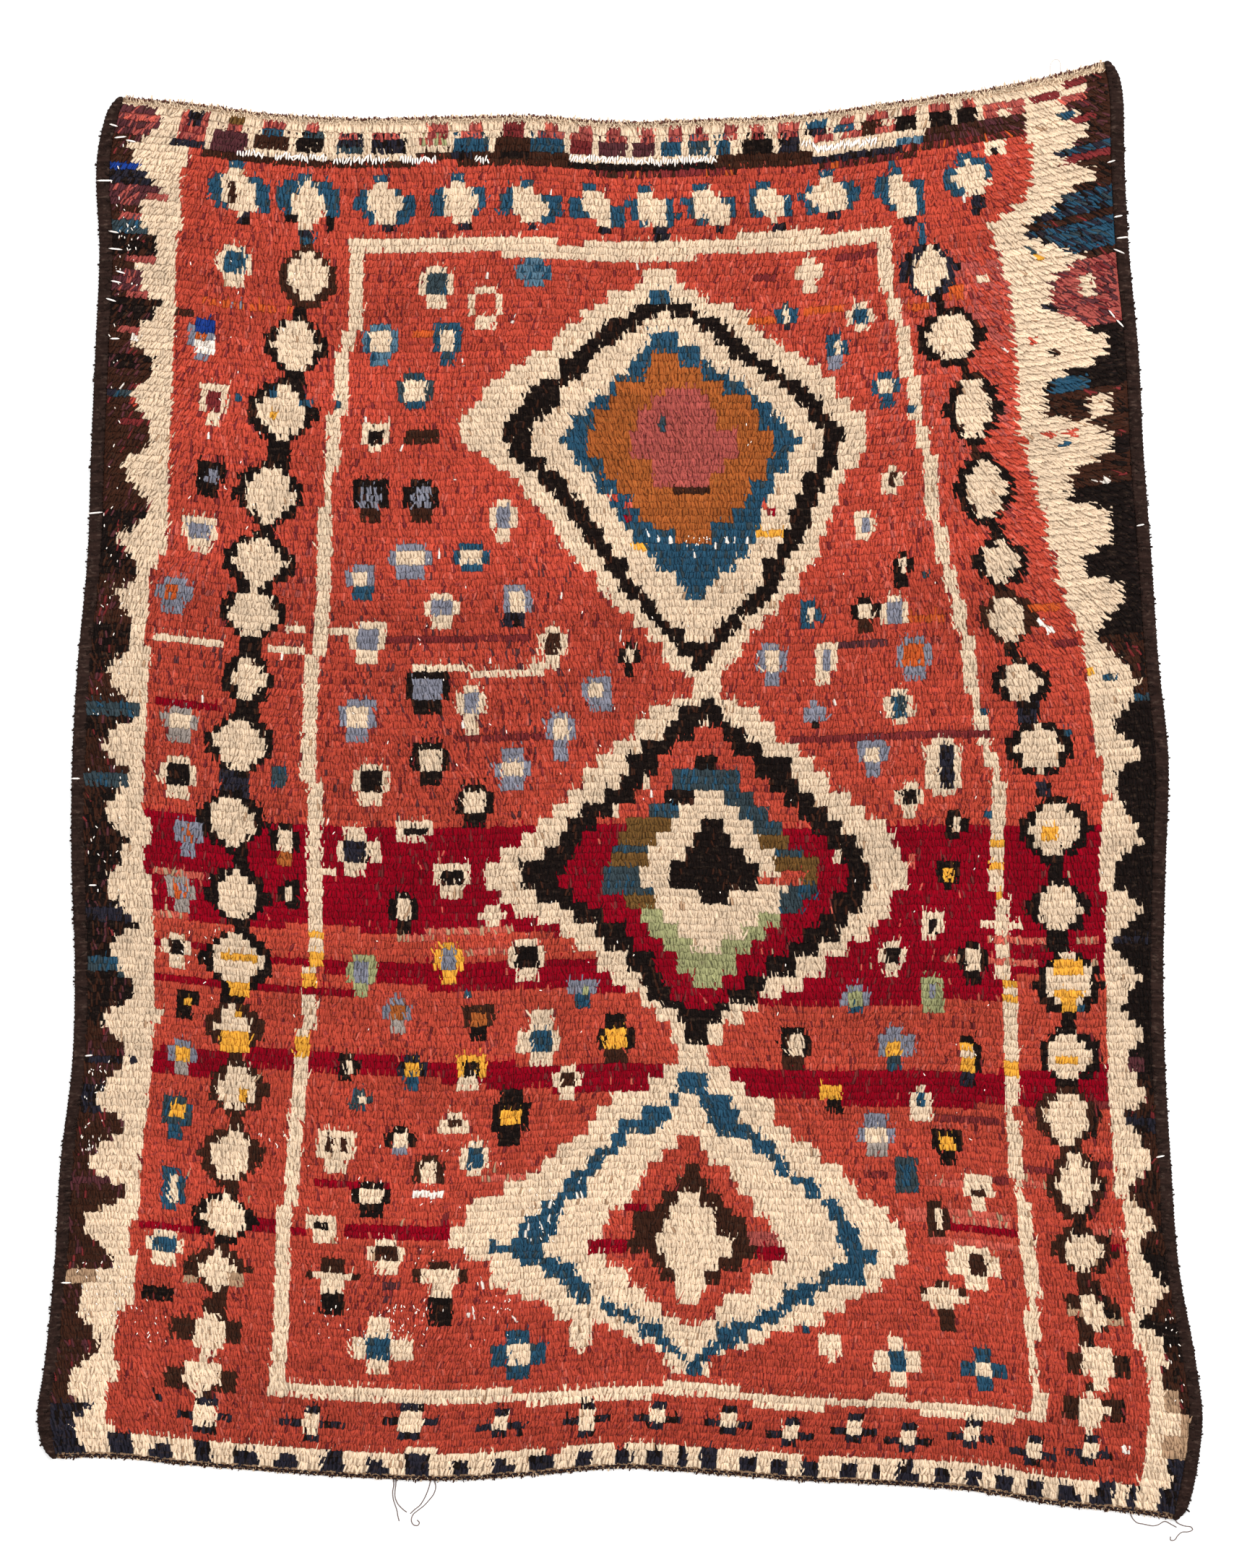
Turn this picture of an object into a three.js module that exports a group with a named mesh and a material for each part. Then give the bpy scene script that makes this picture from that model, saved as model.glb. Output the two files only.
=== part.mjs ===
// Gabbeh rug: one knotted piece lying flat, its two overcast side bindings and the loose threads
// that hang out of its worn ends. Millimetres, +Z up, +Y to the end with the narrow top border,
// origin under the middle of the rug's box.

import * as THREE from "three";

// Driving dimensions
const pileHeight = 9.2;
const webThickness = 3;
const topWebReach = 9;
const bottomWebReach = 7;
const pileShoulder = 4;
const bindingWidth = 16;
const bindingHeight = 8.6;
const gap = 0.3;
const threadDiameter = 1.2;
const columns = 24;
const rows = 30;

// Outer outline of the two long sides, top to bottom
const leftSide = [
  { y: 816, x: -600 },
  { y: 752, x: -614 },
  { y: 633, x: -612 },
  { y: 514, x: -617 },
  { y: 395, x: -622 },
  { y: 276, x: -626 },
  { y: 157, x: -637 },
  { y: 38, x: -644 },
  { y: -81, x: -645 },
  { y: -200, x: -641 },
  { y: -319, x: -644 },
  { y: -438, x: -658 },
  { y: -557, x: -665 },
  { y: -676, x: -677 },
  { y: -735, x: -685 },
  { y: -785, x: -678 },
];
const rightSide = [
  { y: 858, x: 586 },
  { y: 812, x: 592 },
  { y: 752, x: 593 },
  { y: 633, x: 599 },
  { y: 514, x: 610 },
  { y: 395, x: 616 },
  { y: 276, x: 625 },
  { y: 157, x: 633 },
  { y: 38, x: 645 },
  { y: -81, x: 642 },
  { y: -200, x: 639 },
  { y: -319, x: 641 },
  { y: -438, x: 648 },
  { y: -557, x: 657 },
  { y: -676, x: 678 },
  { y: -735, x: 685 },
  { y: -795, x: 679 },
  { y: -857, x: 666 },
];

// Ends of the woven web between the bindings, left to right
const topEnd = [
  { x: -508, y: 809 },
  { x: -406, y: 796 },
  { x: -304, y: 791 },
  { x: -202, y: 793 },
  { x: -100, y: 794 },
  { x: 2, y: 787 },
  { x: 104, y: 790 },
  { x: 206, y: 794 },
  { x: 308, y: 808 },
  { x: 410, y: 822 },
  { x: 512, y: 842 },
];
const bottomEnd = [
  { x: -610, y: -784 },
  { x: -508, y: -793 },
  { x: -406, y: -801 },
  { x: -304, y: -808 },
  { x: -202, y: -811 },
  { x: -100, y: -805 },
  { x: 2, y: -797 },
  { x: 104, y: -803 },
  { x: 206, y: -811 },
  { x: 308, y: -816 },
  { x: 410, y: -823 },
  { x: 512, y: -840 },
  { x: 614, y: -851 },
];

// Long low waves of the worn pile, and the soft pleat that runs in from the top end
const waves = [
  { across: 2.5, along: 1.5, phase: 0.4, height: 0.35 },
  { across: 1.0, along: 4.5, phase: 2.1, height: 0.3 },
  { across: 5.0, along: 3.0, phase: 4.0, height: 0.2 },
];
const pleat = { x: -82, width: 26, endY: 640, height: 1.6 };

// How each binding narrows on its outer side towards its two ends
const bindingEnds = [
  { fromEnd: 0, outer: 0.35 },
  { fromEnd: 7, outer: 0.72 },
  { fromEnd: 17, outer: 0.94 },
  { fromEnd: 32, outer: 1 },
];

// Section of a binding: across from the body outwards, and up, as shares of width and height
const bindingSection = [
  { across: 0.0, up: 0.1 },
  { across: 0.12, up: 0.0 },
  { across: 0.82, up: 0.0 },
  { across: 0.97, up: 0.22 },
  { across: 1.0, up: 0.5 },
  { across: 0.94, up: 0.78 },
  { across: 0.76, up: 0.96 },
  { across: 0.5, up: 1.0 },
  { across: 0.18, up: 0.95 },
  { across: 0.0, up: 0.82 },
];

// Loose threads, each from its exit to its end
const threads = [
  {
    name: "thread_bottom_tail",
    color: 0x5a4a4c,
    route: [
      [-266.5, -810.1, 1.4], [-266.1, -817, 0.8], [-267.3, -825, 0.7], [-266.6, -833.4, 0.7],
      [-264.3, -840.5, 0.7], [-262.2, -847, 0.7], [-261.2, -853, 0.7], [-259.6, -859.4, 0.7],
    ],
  },
  {
    name: "thread_bottom_link",
    color: 0xb59c8b,
    route: [
      [-263.3, -810.2, 1.4], [-263.6, -817, 0.8], [-264.6, -825.5, 0.7], [-264.0, -832.5, 0.7],
      [-260.8, -839.5, 0.7], [-255.4, -845.2, 0.7], [-250.6, -848.8, 0.7],
    ],
  },
  {
    name: "thread_bottom_curl",
    color: 0x9a8478,
    route: [
      [-218.6, -811.3, 1.4], [-216.6, -818.6, 0.7], [-218.8, -827, 0.7], [-224.6, -834.7, 0.7],
      [-230.4, -841, 0.7], [-237, -846.2, 0.7], [-243, -851.2, 0.7], [-245.4, -857.7, 0.7],
      [-243.2, -863.2, 0.7], [-238.4, -864.6, 0.7], [-235.8, -861.2, 0.7], [-238.6, -857.8, 0.7],
    ],
  },
  {
    name: "thread_bottom_twin",
    color: 0xa08a7c,
    route: [
      [-222.6, -811.5, 1.4], [-224.8, -820, 0.7], [-228, -828.4, 0.7], [-231.6, -835.4, 0.7],
      [-235.8, -841.2, 0.7], [-241.4, -845.6, 0.7], [-246.6, -850.6, 0.7],
    ],
  },
  {
    name: "thread_bottom_right",
    color: 0x4c4448,
    route: [
      [600.5, -850.3, 1.4], [603.2, -856.2, 0.8], [608.5, -861.2, 0.7], [616.3, -862.8, 0.7],
      [626.5, -864.8, 0.7], [633.5, -863.4, 0.7], [640.9, -859.6, 0.7], [648.6, -863.2, 0.7],
      [655, -866.6, 0.7],
    ],
  },
  {
    name: "thread_corner_curl",
    color: 0x6a6468,
    route: [
      [653.2, -857.7, 1.8], [656.2, -861.6, 0.8], [664, -864.9, 0.7], [671.4, -865.9, 0.7],
      [673.6, -869.6, 0.7], [668.4, -871.9, 0.7], [661.3, -872.2, 0.7], [656.2, -876.4, 0.7],
      [652.8, -881.2, 0.7], [647.9, -881.6, 0.7], [647.6, -877.4, 0.7],
    ],
  },
  {
    name: "thread_top_loop",
    color: 0xd9d2c2,
    route: [
      [506.4, 841.5, 1.4], [506.2, 848, 0.8], [506.8, 854.4, 0.7], [509.4, 859.4, 0.7],
      [514.2, 861, 0.7], [517.8, 857.6, 0.7], [518.2, 851.2, 0.8], [519.6, 844.4, 1.4],
    ],
  },
];

// Smooth curve through a table's rows: reads one column at any place along another
function readTable(table, along, wanted, place) {
  const last = table.length - 1;
  const rising = table[last][along] > table[0][along];
  let index = 0;
  while (index < last - 1 && (table[index + 1][along] < place) === rising) {
    index += 1;
  }
  const here = table[index];
  const next = table[index + 1];
  const before = table[Math.max(index - 1, 0)];
  const after = table[Math.min(index + 2, last)];
  const span = next[along] - here[along];
  const share = (place - here[along]) / span;
  const slopeHere = (next[wanted] - before[wanted]) / (next[along] - before[along]) * span;
  const slopeNext = (after[wanted] - here[wanted]) / (after[along] - here[along]) * span;
  const square = share * share;
  const cube = square * share;
  return (2 * cube - 3 * square + 1) * here[wanted]
    + (cube - 2 * square + share) * slopeHere
    + (3 * square - 2 * cube) * next[wanted]
    + (cube - square) * slopeNext;
}

const mix = THREE.MathUtils.lerp;

// The body's side at a height along the rug, a gap clear of the binding's inner side
function bodySide(side, inward, y) {
  return { x: readTable(side, "y", "x", y) + inward * (bindingWidth + gap), y };
}

const corners = {
  topLeft: bodySide(leftSide, 1, leftSide[0].y),
  topRight: bodySide(rightSide, -1, rightSide[0].y),
  bottomLeft: bodySide(leftSide, 1, leftSide[leftSide.length - 1].y),
  bottomRight: bodySide(rightSide, -1, rightSide[rightSide.length - 1].y),
};

function bodyEnd(end, left, right, across) {
  const x = mix(left.x, right.x, across);
  return { x, y: readTable([left, ...end, right], "x", "y", x) };
}

// A point of the rug's plane from its shares across and down, blended from the four edges
function plan(across, down) {
  const { topLeft, topRight, bottomLeft, bottomRight } = corners;
  const left = bodySide(leftSide, 1, mix(topLeft.y, bottomLeft.y, down));
  const right = bodySide(rightSide, -1, mix(topRight.y, bottomRight.y, down));
  const top = bodyEnd(topEnd, topLeft, topRight, across);
  const bottom = bodyEnd(bottomEnd, bottomLeft, bottomRight, across);
  const blend = (key) => {
    const sides = mix(left[key], right[key], across);
    const ends = mix(top[key], bottom[key], down);
    const topLine = mix(topLeft[key], topRight[key], across);
    const bottomLine = mix(bottomLeft[key], bottomRight[key], across);
    return sides + ends - mix(topLine, bottomLine, down);
  };
  return { x: blend("x"), y: blend("y") };
}

// Height of the worn pile over the floor
function pileTop(x, y, across, down) {
  let z = pileHeight;
  for (const wave of waves) {
    z += wave.height * Math.sin(2 * Math.PI * (wave.across * across + wave.along * down) + wave.phase);
  }
  const fade = THREE.MathUtils.clamp((y - pleat.endY) / (corners.topLeft.y - pleat.endY), 0, 1);
  const away = (x - pleat.x) / pleat.width;
  return z + pleat.height * fade * Math.exp(-away * away);
}

// Shares down the rug of its grid lines: web, shoulder of the pile, pile, shoulder, web
function gridLinesDown() {
  const length = corners.topLeft.y - corners.bottomLeft.y;
  const lines = [{ down: 0, web: true }];
  lines.push({ down: topWebReach / length, web: true });
  const firstPile = (topWebReach + pileShoulder) / length;
  const lastPile = 1 - (bottomWebReach + pileShoulder) / length;
  for (let row = 0; row <= rows; row += 1) {
    lines.push({ down: mix(firstPile, lastPile, row / rows), web: false });
  }
  lines.push({ down: 1 - bottomWebReach / length, web: true });
  lines.push({ down: 1, web: true });
  return lines;
}

function closedMesh(name, positions, triangles, color) {
  const geometry = new THREE.BufferGeometry();
  geometry.setAttribute("position", new THREE.Float32BufferAttribute(positions, 3));
  geometry.setIndex(triangles);
  geometry.computeVertexNormals();
  const material = new THREE.MeshStandardMaterial({ color, roughness: 0.95, metalness: 0 });
  const mesh = new THREE.Mesh(geometry, material);
  mesh.name = name;
  return mesh;
}

// The knotted rug: a flat underside, an uneven pile and a thin web at either end
function rugBody() {
  const lines = gridLinesDown();
  const lineCount = lines.length;
  const across = columns + 1;
  const positions = [];
  for (const isTop of [true, false]) {
    for (const line of lines) {
      for (let column = 0; column <= columns; column += 1) {
        const share = column / columns;
        const point = plan(share, line.down);
        const height = line.web ? webThickness : pileTop(point.x, point.y, share, line.down);
        positions.push(point.x, point.y, isTop ? height : 0);
      }
    }
  }
  const topIndex = (line, column) => line * across + column;
  const bottomIndex = (line, column) => (lineCount + line) * across + column;
  const triangles = [];
  const quad = (a, b, c, d) => triangles.push(a, b, c, a, c, d);
  for (let line = 0; line < lineCount - 1; line += 1) {
    for (let column = 0; column < columns; column += 1) {
      quad(
        topIndex(line, column), topIndex(line + 1, column),
        topIndex(line + 1, column + 1), topIndex(line, column + 1),
      );
      quad(
        bottomIndex(line, column), bottomIndex(line, column + 1),
        bottomIndex(line + 1, column + 1), bottomIndex(line + 1, column),
      );
    }
    quad(
      topIndex(line, 0), bottomIndex(line, 0),
      bottomIndex(line + 1, 0), topIndex(line + 1, 0),
    );
    quad(
      topIndex(line, columns), topIndex(line + 1, columns),
      bottomIndex(line + 1, columns), bottomIndex(line, columns),
    );
  }
  const stop = lineCount - 1;
  for (let column = 0; column < columns; column += 1) {
    quad(
      topIndex(0, column), topIndex(0, column + 1),
      bottomIndex(0, column + 1), bottomIndex(0, column),
    );
    quad(
      topIndex(stop, column), bottomIndex(stop, column),
      bottomIndex(stop, column + 1), topIndex(stop, column + 1),
    );
  }
  return closedMesh("rug_body", positions, triangles, 0xa93a2c);
}

// Share of its full outward reach that a binding has at a distance from its nearer end
function outerReach(fromEnd) {
  const last = bindingEnds[bindingEnds.length - 1];
  return fromEnd >= last.fromEnd ? last.outer : readTable(bindingEnds, "fromEnd", "outer", fromEnd);
}

// Places down a binding where its section is set: the body's own lines, and its narrowing ends
function bindingStations(length) {
  const marks = gridLinesDown().map((line) => line.down * length);
  for (const { fromEnd } of bindingEnds) {
    marks.push(fromEnd, length - fromEnd);
  }
  marks.sort((a, b) => a - b);
  return marks.filter((mark, index) => index === 0 || mark - marks[index - 1] > 0.01);
}

// A side binding: one rounded section carried down the rug's side
function sideBinding(name, side, outward, color) {
  const top = side[0].y;
  const length = top - side[side.length - 1].y;
  const stations = bindingStations(length);
  const positions = [];
  for (const fromTop of stations) {
    const y = top - fromTop;
    const outerX = readTable(side, "y", "x", y);
    const innerX = outerX - outward * bindingWidth;
    const share = outerReach(Math.min(fromTop, length - fromTop));
    for (const point of bindingSection) {
      const x = innerX + outward * point.across * bindingWidth * share;
      positions.push(x, y, point.up * bindingHeight);
    }
  }
  const sides = bindingSection.length;
  const triangles = [];
  const face = (a, b, c) => (outward > 0 ? triangles.push(a, c, b) : triangles.push(a, b, c));
  for (let station = 0; station < stations.length - 1; station += 1) {
    for (let corner = 0; corner < sides; corner += 1) {
      const next = (corner + 1) % sides;
      const a = station * sides + corner;
      const b = station * sides + next;
      face(a, a + sides, b + sides);
      face(a, b + sides, b);
    }
  }
  const lastRing = (stations.length - 1) * sides;
  for (let corner = 1; corner < sides - 1; corner += 1) {
    face(0, corner, corner + 1);
    face(lastRing, lastRing + corner + 1, lastRing + corner);
  }
  return closedMesh(name, positions, triangles, color);
}

// A loose thread: a fine tube along its route
function looseThread({ name, color, route }) {
  const sides = 8;
  const outline = new THREE.Shape();
  for (let corner = 0; corner < sides; corner += 1) {
    const angle = (corner + 0.5) / sides * 2 * Math.PI;
    const x = threadDiameter / 2 * Math.cos(angle);
    const y = threadDiameter / 2 * Math.sin(angle);
    if (corner === 0) {
      outline.moveTo(x, y);
    } else {
      outline.lineTo(x, y);
    }
  }
  const path = new THREE.CatmullRomCurve3(route.map((point) => new THREE.Vector3(...point)));
  const steps = Math.round(path.getLength() / (2.5 * threadDiameter));
  const geometry = new THREE.ExtrudeGeometry(outline, { steps, extrudePath: path, bevelEnabled: false });
  const material = new THREE.MeshStandardMaterial({ color, roughness: 0.9, metalness: 0 });
  const mesh = new THREE.Mesh(geometry, material);
  mesh.name = name;
  return mesh;
}

const rug = new THREE.Group();
rug.add(rugBody());
rug.add(sideBinding("selvedge_left", leftSide, -1, 0x3f2c26));
rug.add(sideBinding("selvedge_right", rightSide, 1, 0x3f2c26));
for (const thread of threads) {
  rug.add(looseThread(thread));
}

export default rug;
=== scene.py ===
from types import SimpleNamespace

import bpy
import numpy as np
from bpy.props import FloatProperty, FloatVectorProperty, IntProperty, PointerProperty
from bpy.types import Operator, Panel, PropertyGroup
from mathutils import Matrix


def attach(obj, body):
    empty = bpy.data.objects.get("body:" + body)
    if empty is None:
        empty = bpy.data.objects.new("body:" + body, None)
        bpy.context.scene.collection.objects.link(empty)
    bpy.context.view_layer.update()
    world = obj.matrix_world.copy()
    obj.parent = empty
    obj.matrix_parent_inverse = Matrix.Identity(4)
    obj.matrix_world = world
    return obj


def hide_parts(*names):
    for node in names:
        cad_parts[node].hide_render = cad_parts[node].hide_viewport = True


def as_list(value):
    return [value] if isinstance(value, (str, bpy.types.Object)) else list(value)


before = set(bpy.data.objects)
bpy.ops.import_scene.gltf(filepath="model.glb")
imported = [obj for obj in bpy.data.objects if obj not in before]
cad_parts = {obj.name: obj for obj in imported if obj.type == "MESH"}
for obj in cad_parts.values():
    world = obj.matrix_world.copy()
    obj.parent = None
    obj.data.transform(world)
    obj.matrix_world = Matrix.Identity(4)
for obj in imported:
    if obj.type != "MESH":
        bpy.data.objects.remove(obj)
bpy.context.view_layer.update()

bl_info = {
    "name": "Gabbeh rug",
    "version": (1, 0, 0),
    "blender": (4, 5, 0),
    "location": "View3D > Sidebar > Rug",
    "description": "Knots the pile of a worn tribal rug on its woven foundation, row by row from a chart",
    "category": "Object",
}

MM = 0.001
COLUMNS = 144
ROWS = 190
BODY = "root"


def table(columns, text):
    """A small table: the names of its columns, then its rows, parted by bars"""
    names = columns.split()
    rows = []
    for line in text.split("|"):
        cells = [cell if cell[0].isalpha() else float(cell) for cell in line.split()]
        rows.append(SimpleNamespace(**dict(zip(names, cells))))
    return rows


def column(rows, name):
    """One column of a table as an array"""
    return np.array([getattr(row, name) for row in rows])


# Outline of the rug in millimetres, as the frame has it: its two long sides and its two ends
BINDING_WIDTH = 16.0
BINDING_HEIGHT = 8.6
GAP = 0.3
TOP_WEB = 9.0
BOTTOM_WEB = 7.0
LEFT_SIDE = table("y x", """
    816 -600 | 752 -614 | 633 -612 | 514 -617 | 395 -622 | 276 -626 | 157 -637 | 38 -644 |
    -81 -645 | -200 -641 | -319 -644 | -438 -658 | -557 -665 | -676 -677 | -735 -685 | -785 -678""")
RIGHT_SIDE = table("y x", """
    858 586 | 812 592 | 752 593 | 633 599 | 514 610 | 395 616 | 276 625 | 157 633 | 38 645 |
    -81 642 | -200 639 | -319 641 | -438 648 | -557 657 | -676 678 | -735 685 | -795 679 | -857 666""")
TOP_END = table("x y", """
    -508 809 | -406 796 | -304 791 | -202 793 | -100 794 | 2 787 | 104 790 | 206 794 | 308 808 |
    410 822 | 512 842""")
BOTTOM_END = table("x y", """
    -610 -784 | -508 -793 | -406 -801 | -304 -808 | -202 -811 | -100 -805 | 2 -797 | 104 -803 |
    206 -811 | 308 -816 | 410 -823 | 512 -840 | 614 -851""")
BINDING_ENDS = table("from_end outer", "0 0.35 | 7 0.72 | 17 0.94 | 32 1")
BINDING_SECTION = table("across up", """
    0 0.1 | 0.12 0 | 0.82 0 | 0.97 0.22 | 1 0.5 | 0.94 0.78 | 0.76 0.96 | 0.5 1 | 0.18 0.95 | 0 0.82""")
WAVES = table("across along phase height", "2.5 1.5 0.4 0.35 | 1 4.5 2.1 0.3 | 5 3 4 0.2")
PLEAT = SimpleNamespace(x=-82.0, width=26.0, end_y=640.0, height=1.6)


def curve_through(rows, key, value):
    """A smooth curve through a table's rows, which reads arrays"""
    order = np.argsort(column(rows, key))
    at = column(rows, key)[order]
    to = column(rows, value)[order]
    slope = np.gradient(to, at)

    def read(x):
        x = np.clip(x, at[0], at[-1])
        k = np.clip(np.searchsorted(at, x) - 1, 0, len(at) - 2)
        step = at[k + 1] - at[k]
        s = (x - at[k]) / step
        start = (1 + 2 * s) * (1 - s) ** 2 * to[k] + s * (1 - s) ** 2 * step * slope[k]
        return start + s * s * (3 - 2 * s) * to[k + 1] + s * s * (s - 1) * step * slope[k + 1]

    return read


left_outline = curve_through(LEFT_SIDE, "y", "x")
right_outline = curve_through(RIGHT_SIDE, "y", "x")


def rug_side(side, y):
    """Where the knotted part ends at that height, just inside the binding"""
    inward = BINDING_WIDTH + GAP
    return left_outline(y) + inward if side == "left" else right_outline(y) - inward


def corner(side, rows, place):
    """A corner of the knotted part"""
    y = rows[place].y
    return SimpleNamespace(x=float(rug_side(side, y)), y=y)


TOP_LEFT = corner("left", LEFT_SIDE, 0)
BOTTOM_LEFT = corner("left", LEFT_SIDE, -1)
TOP_RIGHT = corner("right", RIGHT_SIDE, 0)
BOTTOM_RIGHT = corner("right", RIGHT_SIDE, -1)
top_outline = curve_through(TOP_END + [TOP_LEFT, TOP_RIGHT], "x", "y")
bottom_outline = curve_through(BOTTOM_END + [BOTTOM_LEFT, BOTTOM_RIGHT], "x", "y")
RUG_LENGTH = TOP_LEFT.y - BOTTOM_LEFT.y


def plan(across, down):
    """A place of the knotted part from its shares across and down, in millimetres"""
    left_y = TOP_LEFT.y + (BOTTOM_LEFT.y - TOP_LEFT.y) * down
    right_y = TOP_RIGHT.y + (BOTTOM_RIGHT.y - TOP_RIGHT.y) * down
    top_x = TOP_LEFT.x + (TOP_RIGHT.x - TOP_LEFT.x) * across
    bottom_x = BOTTOM_LEFT.x + (BOTTOM_RIGHT.x - BOTTOM_LEFT.x) * across
    corner_weights = (
        ((1 - across) * (1 - down), TOP_LEFT),
        (across * (1 - down), TOP_RIGHT),
        ((1 - across) * down, BOTTOM_LEFT),
        (across * down, BOTTOM_RIGHT),
    )
    x = (1 - across) * rug_side("left", left_y) + across * rug_side("right", right_y)
    x = x + (1 - down) * top_x + down * bottom_x - sum(w * c.x for w, c in corner_weights)
    y = (1 - across) * left_y + across * right_y
    y = y + (1 - down) * top_outline(top_x) + down * bottom_outline(bottom_x)
    return x, y - sum(w * c.y for w, c in corner_weights)


def knot_place(col, row):
    """The place of a column and a row of knots, in millimetres"""
    first = TOP_WEB / RUG_LENGTH
    last = 1 - BOTTOM_WEB / RUG_LENGTH
    return plan(np.asarray(col) / COLUMNS, first + (last - first) * np.asarray(row) / ROWS)


def pile_rise(x, y, col, row):
    """How far the worn pile's long waves and its pleat stand above its plain height"""
    rise = 0
    for wave in WAVES:
        turns = wave.across * col / COLUMNS + wave.along * row / ROWS
        rise = rise + wave.height * np.sin(2 * np.pi * turns + wave.phase)
    fade = np.clip((y - PLEAT.end_y) / (TOP_LEFT.y - PLEAT.end_y), 0, 1)
    return rise + PLEAT.height * fade * np.exp(-((x - PLEAT.x) / PLEAT.width) ** 2)


def eased(share):
    """A share from 0 to 1 that starts and stops gently"""
    return share * share * (3 - 2 * share)


def lattice(col, row, cell, seed):
    """Soft random values from -1 to 1, that change over about one cell"""
    u, v = np.asarray(col) / cell, np.asarray(row) / cell
    size = int(max(np.max(u), np.max(v))) + 3
    values = np.random.default_rng(seed).uniform(-1, 1, (size, size))
    i, j = u.astype(int), v.astype(int)
    s, t = eased(u - i), eased(v - j)
    upper = values[j, i] * (1 - s) + values[j, i + 1] * s
    lower = values[j + 1, i] * (1 - s) + values[j + 1, i + 1] * s
    return upper * (1 - t) + lower * t


# The chart, in knots: columns from the left, rows from the top
CELL_COL, CELL_ROW = np.meshgrid(np.arange(COLUMNS) + 0.5, np.arange(ROWS) + 0.5)

# Ivory side bands: where each ends on its inner side, and how far the dark teeth reach into it
LEFT_BAND = table("row edge", """
    0 13 | 6 11 | 10 10 | 17 9.5 | 22 9 | 33 8.7 | 45 9 | 54 8.8 | 62 9.1 | 65 7.5 | 67 6.8 | 74 7 |
    77 7.8 | 80 8.5 | 97 8.2 | 102 8.8 | 107 8 | 108 9 | 125 8.7 | 128 9.7 | 132 8.9 | 137 9.5 | 145 9.2 |
    150 9.5 | 156 9 | 158 8.1 | 162 8.2 | 163 9.4 | 165.5 9.4 | 166 8.7 | 168.4 8.7 | 170.3 7.1 |
    174 7.1 | 179.9 7.8 | 180.4 6.8 | 190 7.2""")
LEFT_TEETH = table("row reach", """
    0 5 | 2 6.5 | 4 5 | 5.5 2.5 | 8 3.5 | 10 5.5 | 11.5 7 | 13 4.5 | 15 3.8 | 17 4.5 | 18 6.5 | 20 6.5 |
    21 6 | 22 3.5 | 24 3 | 26 4 | 27 6.8 | 28 6.8 | 30 5.5 | 31 3.5 | 34 3.3 | 35 6 | 38 6 | 40 3.5 |
    41 2.2 | 43 5 | 45 6.4 | 48 6.4 | 49 4.3 | 50 2 | 53 3.2 | 55 6.2 | 58 6.2 | 59 4.5 | 60.5 1.6 |
    62 2 | 63.5 3.8 | 65 5 | 67 5 | 68.5 2.3 | 71 3.3 | 73 5.5 | 76.5 5 | 78 3.3 | 80 2.2 | 83 4.2 |
    85 7.5 | 86 7.5 | 88 3.2 | 90.5 2.3 | 92.5 4 | 94 6.3 | 96 6.3 | 97 4 | 99 2.4 | 102 4 | 103 5.7 |
    106 5 | 107.5 3.7 | 110 2.3 | 112 3.4 | 114 6 | 115.5 6.9 | 117 4.3 | 119 2.2 | 121.5 4 | 123 5.7 |
    126 6 | 127 4.6 | 128 2.1 | 130 2 | 132 4.4 | 133 5.3 | 134.5 5 | 136 4.3 | 138 2.9 | 141 1.8 |
    142 4.2 | 143 6.6 | 145 6.1 | 146 3.5 | 149 1.9 | 150.5 3.4 | 152 6.4 | 153.5 7.5 | 154.6 6 |
    156 2.7 | 157 1.7 | 159 2.6 | 161 4.6 | 163 7 | 164 5 | 164.6 0.3 | 165.5 0.3 | 166 1.5 | 168 2.3 |
    169 1.8 | 171 2.7 | 173 4.1 | 175 5.4 | 176 5.3 | 177 3.2 | 179 1.8 | 181 1.9 | 182.4 2.6 | 183 4.5 |
    184 5.2 | 185 3.4 | 186 2.3 | 188 3.3 | 190 3.7""")
LEFT_TEETH_WOOL = table("row yarn", """
    0 plum | 1 rose | 2.2 plum | 3.6 brown | 7.8 royal | 8.8 navy | 11 plum | 13.5 brown | 16 teal |
    18 black | 21 brown | 23.5 plum | 26 black | 31 brown | 35 black | 37 brown | 39.6 teal | 41 brown |
    57 black | 66 brown | 73 black | 80 brown | 84 teal | 86 black | 89 brown | 93.6 teal | 96 black |
    113 navy | 115 black | 120 teal | 122 black | 130 brown | 134 navy | 135 brown | 137.6 navy |
    141.6 brown | 150.5 plum | 152 brown | 183 navy""")
RIGHT_BAND = table("row edge", """
    0 132 | 8 132.6 | 12 133 | 15 131.7 | 17 126.3 | 20 127 | 23 128.3 | 29 129 | 40 128.6 | 49 130 |
    53 131 | 60 132 | 66 133.3 | 70 134.5 | 76 136.3 | 90 136.4 | 95 137.6 | 101 136.8 | 107 136.6 |
    109 137.8 | 116 138.5 | 130 138.4 | 138 138 | 142 137.7 | 149 138.4 | 153 139.2 | 161.5 139.2 |
    164 138.5 | 165 137.8 | 167.5 137.9 | 170 139.1 | 179 138.7 | 185 139 | 190 139.4""")
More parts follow.
